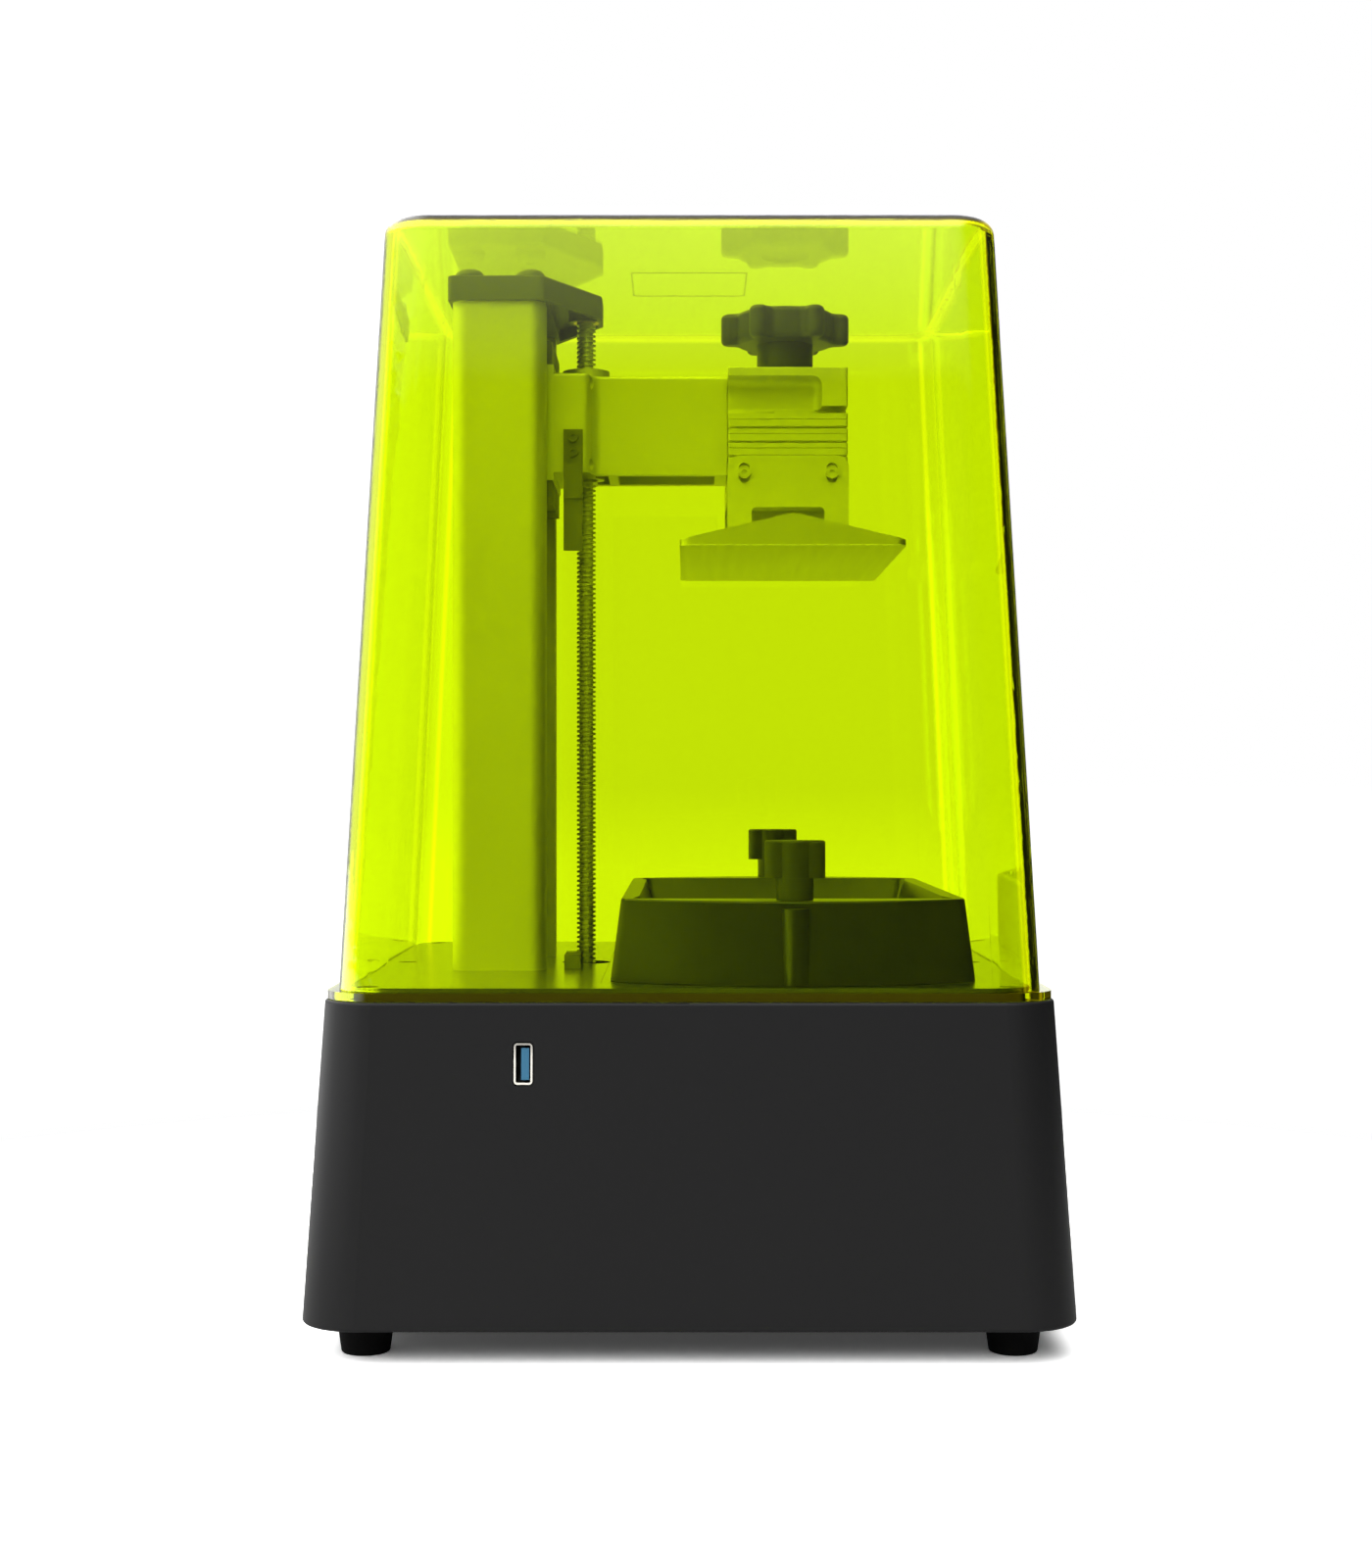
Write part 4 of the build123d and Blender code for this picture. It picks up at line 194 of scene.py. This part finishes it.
# ---------------------------------------------------------------- finishes
def grey(level):
    """A colour with the same level of red, green and blue."""
    return (level, level, level)


CHARCOAL = (0.008, 0.008, 0.0082)
ALUMINIUM = grey(0.82)
STEEL = (0.85, 0.85, 0.84)
BRONZE = (0.5, 0.3, 0.12)
BRASS = (0.7, 0.5, 0.2)
BOARD_GREEN = (0.01, 0.06, 0.025)
LED_AMBER = (0.8, 0.7, 0.2)
USB_BLUE = (0.03, 0.118, 0.2)
SOCKET_CREAM = (0.8, 0.77, 0.69)
SOCKET_PAINTED_SHADE = (0.01, 0.008, 0.006)
ACRYLIC_TINT = (0.785, 0.925, 0.001)
SEAM_TINT = (0.06, 0.08, 0.0)
# Colour of the painted highlight that glows along the cover's bends
BEND_PAINTED_HIGHLIGHT = (0.3, 0.24, 0.0)
CLEAR = (0.95, 0.96, 0.98)
GLASS_BLACK = (0.006, 0.006, 0.008)
PLASTIC_IOR = 1.45

COVER_FOOT = 3.6 * MM
COVER_LEAN = 15.9 * MM
COVER_ROUND = 6 * MM
COVER_WALL = 3 * MM
PANEL_WIDTH = 49 * MM
PANEL_LENGTH = 46 * MM
PANEL_GROOVE = 0.8 * MM
WAVE_PITCH = 6.4 * MM
WAVE_DEPTH = 0.4 * MM

ALONG_X, ALONG_Z = (0.02, 1, 1), (1, 1, 0.02)


def mottled(shader, colour, contrast, to_the_metre, detail=2):
    """The colour, drifting to contrast times itself in soft blots."""
    shade = [channel * contrast for channel in colour]
    return shader.mix(shader.noise(to_the_metre, detail), colour, shade)


def powder_coat(colour, roughness):
    """Fine-grained powder coat: tiny bumps and a slight change of shade over the panel."""

    def recipe(shader):
        grain = shader.noise(2600, detail=3)
        return {
            "Base Color": mottled(shader, colour, 1.12, to_the_metre=9),
            "Roughness": grain.between(roughness - 0.05, roughness + 0.05),
            "Normal": shader.bump(grain, depth=0.06 * MM, strength=0.35),
            "Specular IOR Level": 0.17,
        }

    return recipe


def moulded(colour, roughness, grain_scale=1500, depth=0.04 * MM, gloss=0.5):
    """Moulded plastic or rubber with a fine spark-eroded grain."""

    def recipe(shader):
        grain = shader.noise(grain_scale)
        return {
            "Base Color": mottled(shader, colour, 1.3, to_the_metre=40, detail=3),
            "Roughness": grain.between(roughness - 0.06, roughness + 0.06),
            "Normal": shader.bump(grain, depth, strength=0.4),
            "Specular IOR Level": gloss,
        }

    return recipe


def drawn_metal(colour, roughness, stretch, depth=0.02 * MM):
    """Metal with a grain drawn out along one axis, as extruding, brushing or grinding leaves it."""

    def recipe(shader):
        streaks = shader.noise(1200, detail=3, stretch=stretch)
        return {
            "Base Color": mottled(shader, colour, 0.9, to_the_metre=14),
            "Metallic": 1.0,
            "Roughness": streaks.between(roughness - 0.08, roughness + 0.08),
            "Normal": shader.bump(streaks, depth, strength=0.5),
        }

    return recipe


def blasted_metal(colour, roughness):
    """Bead-blasted and anodised metal."""
    return drawn_metal(colour, roughness, stretch=(1, 1, 1), depth=0.03 * MM)


def clear_plastic(shader):
    """Clear plastic with hardly any colour."""
    return {
        "Base Color": CLEAR,
        "Roughness": 0.0,
        "IOR": PLASTIC_IOR,
        "Transmission Weight": 1.0,
    }


def tinted_acrylic(shader):
    """Clear yellow-green sheet with a painted highlight: a fixed yellow glow along its bends and foot
    edge, standing in for the light such sheet gathers there.
    """
    x, y, z = shader.axes(shader.place())
    across = abs(x).greater(abs(y))
    below_top = 1.0 - z.rise(cover_high.z - COVER_ROUND - 2 * MM, cover_high.z - COVER_ROUND + 2 * MM)
    corner_bends = abs(abs(x) - abs(y)).peak(0.0, 2 * MM) * below_top

    top_reach = cover_high.x - COVER_FOOT - COVER_LEAN
    at_rim = across.rise(top_reach - 8 * MM, top_reach - 5 * MM)
    top_bend = z.peak(cover_high.z - COVER_WALL - 0.4 * MM, 2 * MM) * at_rim
    foot_edge = across.rise(cover_high.x - 1.4 * MM, cover_high.x - 0.6 * MM)
    # Painted highlight: emission along the corner bends, the top bend and the foot edge, the same
    # under any lamp
    painted_highlight = corner_bends + 0.6 * top_bend + 0.12 * foot_edge

    off_outline = (abs(x) - PANEL_WIDTH / 2).greater(abs(y) - PANEL_LENGTH / 2)
    outline = off_outline.peak(-PANEL_GROOVE / 2, 0.6 * MM)
    near_top = z.rise(cover_high.z - 0.9 * MM, cover_high.z - 0.6 * MM)
    return {
        "Base Color": shader.mix(outline * near_top, ACRYLIC_TINT, SEAM_TINT),
        "Roughness": 0.0,
        "IOR": PLASTIC_IOR,
        "Transmission Weight": 1.0,
        "Emission Color": shader.mix(painted_highlight.clamped(), grey(0.0), BEND_PAINTED_HIGHLIGHT),
        "Emission Strength": 1.0,
    }


def printing_face(shader):
    """Blasted plate, with soft waves that milling left across its printing face."""
    inputs = blasted_metal(ALUMINIUM, 0.5)(shader)
    x, _, z = shader.axes(shader.place())
    waves = 0.5 + 0.5 * (x * (2 * pi / WAVE_PITCH)).sine()
    underside = 1.0 - z.rise(plate_underside + 0.1 * MM, plate_underside + 0.4 * MM)
    inputs["Normal"] = shader.bump(waves * underside, WAVE_DEPTH)
    return inputs


def socket_shell(shader):
    """Cream lacquered tin at the mouth, with painted shade darkening it further in."""
    inputs = moulded(SOCKET_CREAM, 0.35, gloss=0.7)(shader)
    _, y, _ = shader.axes(shader.place())
    # Painted shade: the shell turns dark past the mouth, where shade falls inside the socket
    painted_shade_inside = y.rise(socket_mouth + 0.6 * MM, socket_mouth + 1.2 * MM)
    inputs["Base Color"] = shader.mix(painted_shade_inside, SOCKET_CREAM, SOCKET_PAINTED_SHADE)
    return inputs


def dark_glass(shader):
    """Near-black glass with faint smudges."""
    smudges = shader.noise(60, detail=4)
    return {
        "Base Color": GLASS_BLACK,
        "Roughness": smudges.between(0.03, 0.09),
        "Coat Weight": 0.5,
    }


finishes = {
    "charcoal_paint": powder_coat(CHARCOAL, 0.5),
    "black_rubber": moulded(grey(0.003), 0.8, grain_scale=900, depth=0.1 * MM, gloss=0.1),
    "deck_aluminium": drawn_metal(grey(0.58), 0.24, ALONG_X),
    "column_aluminium": drawn_metal(ALUMINIUM, 0.6, ALONG_Z),
    "cast_aluminium": blasted_metal(ALUMINIUM, 0.62),
    "plate_aluminium": printing_face,
    "steel": drawn_metal(STEEL, 0.5, ALONG_Z),
    "black_screw": moulded(grey(0.14), 0.45),
    "dark_plastic": moulded(grey(0.17), 0.5),
    "dark_cast": powder_coat(grey(0.16), 0.5),
    "black_knob": moulded(grey(0.045), 0.45),
    "vat_plastic": moulded(grey(0.03), 0.3),
    "film": clear_plastic,
    "screen_glass": dark_glass,
    "touch_glass": dark_glass,
    "cover_acrylic": tinted_acrylic,
    "circuit_board": moulded(BOARD_GREEN, 0.35),
    "led_board_white": moulded(grey(0.8), 0.4),
    "led": moulded(LED_AMBER, 0.2),
    "lens_clear": clear_plastic,
    "reflector": drawn_metal(grey(0.8), 0.15, ALONG_Z),
    "bronze": drawn_metal(BRONZE, 0.35, ALONG_Z),
    "brass": drawn_metal(BRASS, 0.25, ALONG_Z),
    "socket_metal": socket_shell,
    "usb_blue": moulded(USB_BLUE, 0.35),
    "switch_plastic": moulded(grey(0.011), 0.3),
}
materials = {slot: principled(slot, recipe) for slot, recipe in finishes.items()}
for part in frame["record"]["subparts"]:
    mesh = nodes[part["node"]].data
    mesh.materials.clear()
    mesh.materials.append(materials[part["material_slot"]])


# ---------------------------------------------------------------- pieces
ROD_SIDES = 32
ROD_CHAMFER = 0.6 * MM
THREAD_PITCH = 2 * MM
THREAD_HEIGHT = 1.1 * MM
THREAD_FOOT = 0.6 * THREAD_PITCH
THREAD_CREST = 0.42 * THREAD_PITCH
THREAD_SINK = 0.3 * MM
THREAD_STEPS = 24
LEAST_RIDGE = 0.05


def closed_sweep(bm, sections):
    """Skins a run of equal rings of points, and closes both ends."""
    rings = [[bm.verts.new(point) for point in section] for section in sections]
    for ring, after in zip(rings, rings[1:]):
        for n in range(len(ring)):
            m = (n + 1) % len(ring)
            bm.faces.new((ring[n], ring[m], after[m], after[n]))
    bm.faces.new(reversed(rings[0]))
    bm.faces.new(rings[-1])


def mesh_object(name, bm, material):
    """A mesh object in the scene, made from bm, which is used up."""
    mesh = bpy.data.meshes.new(name)
    bm.to_mesh(mesh)
    bm.free()
    mesh.materials.append(material)
    made = bpy.data.objects.new(name, mesh)
    bpy.context.scene.collection.objects.link(made)
    return made


def threaded_rod():
    """The lead screw: a core with chamfered ends and one ridge wound round it."""
    axis_x, axis_y = (lead_low.x + lead_high.x) / 2, (lead_low.y + lead_high.y) / 2
    outer = (lead_high.x - lead_low.x) / 2
    core = outer - THREAD_HEIGHT

    def ring_point(radius, turn, z):
        return (axis_x + radius * cos(2 * pi * turn), axis_y + radius * sin(2 * pi * turn), z)

    bm = bmesh.new()
    levels = [
        (core - ROD_CHAMFER, lead_low.z),
        (core, lead_low.z + ROD_CHAMFER),
        (core, lead_high.z - ROD_CHAMFER),
        (core - ROD_CHAMFER, lead_high.z),
    ]
    around = [side / ROD_SIDES for side in range(ROD_SIDES)]
    closed_sweep(bm, [[ring_point(radius, turn, z) for turn in around] for radius, z in levels])

    # The ridge keeps one pitch from the rod's ends, and rises and sinks over a turn there
    steps = int(((lead_high.z - lead_low.z) / THREAD_PITCH - 2) * THREAD_STEPS)
    sections = []
    for step in range(steps + 1):
        turn = step / THREAD_STEPS
        z = lead_low.z + THREAD_PITCH * (turn + 1)
        turns_left = (steps - step) / THREAD_STEPS
        ridge = core + THREAD_HEIGHT * max(LEAST_RIDGE, min(1, turn, turns_left))
        sections.append([
            ring_point(core - THREAD_SINK, turn, z - THREAD_FOOT / 2),
            ring_point(ridge, turn, z - THREAD_CREST / 2),
            ring_point(ridge, turn, z + THREAD_CREST / 2),
            ring_point(core - THREAD_SINK, turn, z + THREAD_FOOT / 2),
        ])
    closed_sweep(bm, sections)
    bmesh.ops.recalc_face_normals(bm, faces=bm.faces)

    rod = mesh_object("lead_screw_thread", bm, materials["steel"])
    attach(rod, "lead_screw")
    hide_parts("lead_screw")


threaded_rod()


# ---------------------------------------------------------------- stage
FLOOR_RADIUS = 0.6
FLOOR_SIDES = 96
FLOOR_LIT, FLOOR_SHOWN = grey(0.5), grey(1.5)
SHADOW_LIFT = 0.05
WHITE = grey(1.0)

CAMERA_PLACE = (-1.3 * MM, -985 * MM, 213 * MM)
CAMERA_LENS, CAMERA_SENSOR = 52.76, 36
CAMERA_SHIFT = 0.00125


def stage_floor():
    """A pale round floor that fades to white at its rim and keeps the printer's shadow."""
    shader = Shader(bpy.data.materials.new("white_floor"))
    direct = shader.seen_directly()
    x, y, _ = shader.axes(shader.place())
    away = (x * x + y * y).root()
    white_rim = away.rise(0.6 * FLOOR_RADIUS, 0.95 * FLOOR_RADIUS)
    colour = shader.mix(direct, FLOOR_LIT, FLOOR_SHOWN)
    lit = shader.node("ShaderNodeBsdfDiffuse", {}, {"Color": colour})
    painted_highlight = shader.node("ShaderNodeEmission", {}, {"Color": WHITE})
    shares = {0: white_rim.greater(SHADOW_LIFT * direct), 1: lit, 2: painted_highlight}
    material = shader.finish(shader.node("ShaderNodeMixShader", {}, shares))

    bm = bmesh.new()
    bmesh.ops.create_circle(bm, cap_ends=True, segments=FLOOR_SIDES, radius=FLOOR_RADIUS)
    mesh_object("floor", bm, material)


def studio_world():
    """White to look at and to see through; large soft panels for light and reflections.

    x, y and z make up the direction looked in, a vector of length 1. Each panel is the product
    of its soft edges and its brightness.
    """
    world = bpy.data.worlds.new("studio")
    bpy.context.scene.world = world
    shader = Shader(world)
    direct = shader.seen_directly()
    x, y, z = shader.axes(shader.node("ShaderNodeTexCoord", {}, {}, "Generated"))

    # A ceiling that darkens to the right
    ceiling = z.rise(0.274, 0.338) * (1.0 - 0.9 * x.rise(0.25, 0.6)) * (1.5 - 0.5 * x)
    # A high panel in front and to the left
    front_or_left = (-y).greater(-x).rise(0.0, 0.3) * (1.0 - x.rise(0.4, 0.6))
    high_panel = z.rise(0.36, 0.45) * front_or_left * (3.8 - 0.8 * x)
    # A low panel to the left, up to the horizon
    left_panel = (-x).rise(0.45, 0.75) * (1.0 - z.rise(-0.005, 0.025)) * 3.6
    # A backdrop that ends on the right, where it is a little brighter
    backdrop = y.rise(-0.05, 0.25) * (1.0 - x.rise(0.2, 0.35)) * (1.1 + 0.6 * x).greater(1.0)
    # A dim room everywhere else
    room = 0.06 - 0.05 * x.rise(0.0, 0.5)
    light = ceiling.greater(high_panel).greater(left_panel).greater(backdrop).greater(room)

    # What is seen straight through the plastic: a little brighter to the left and low down
    seen = 1.0 + 0.28 * (-x).rise(0.07, 0.115) + 0.17 * (-z).rise(0.0, 0.035)
    strength = shader.node("ShaderNodeMix", {"data_type": "FLOAT"}, {0: direct, 2: light, 3: seen})
    sky = shader.node("ShaderNodeBackground", {}, {"Color": WHITE, "Strength": strength})
    shader.finish(sky, "ShaderNodeOutputWorld")


def camera():
    """A level camera straight in front of the printer's left side."""
    lens = bpy.data.cameras.new("camera")
    lens.lens = CAMERA_LENS
    lens.sensor_width = CAMERA_SENSOR
    lens.shift_y = CAMERA_SHIFT
    holder = bpy.data.objects.new("camera", lens)
    holder.location = CAMERA_PLACE
    holder.rotation_euler = (radians(90), 0, 0)
    bpy.context.scene.collection.objects.link(holder)
    bpy.context.scene.camera = holder


stage_floor()
studio_world()
camera()
bpy.context.scene.view_settings.view_transform = "Standard"
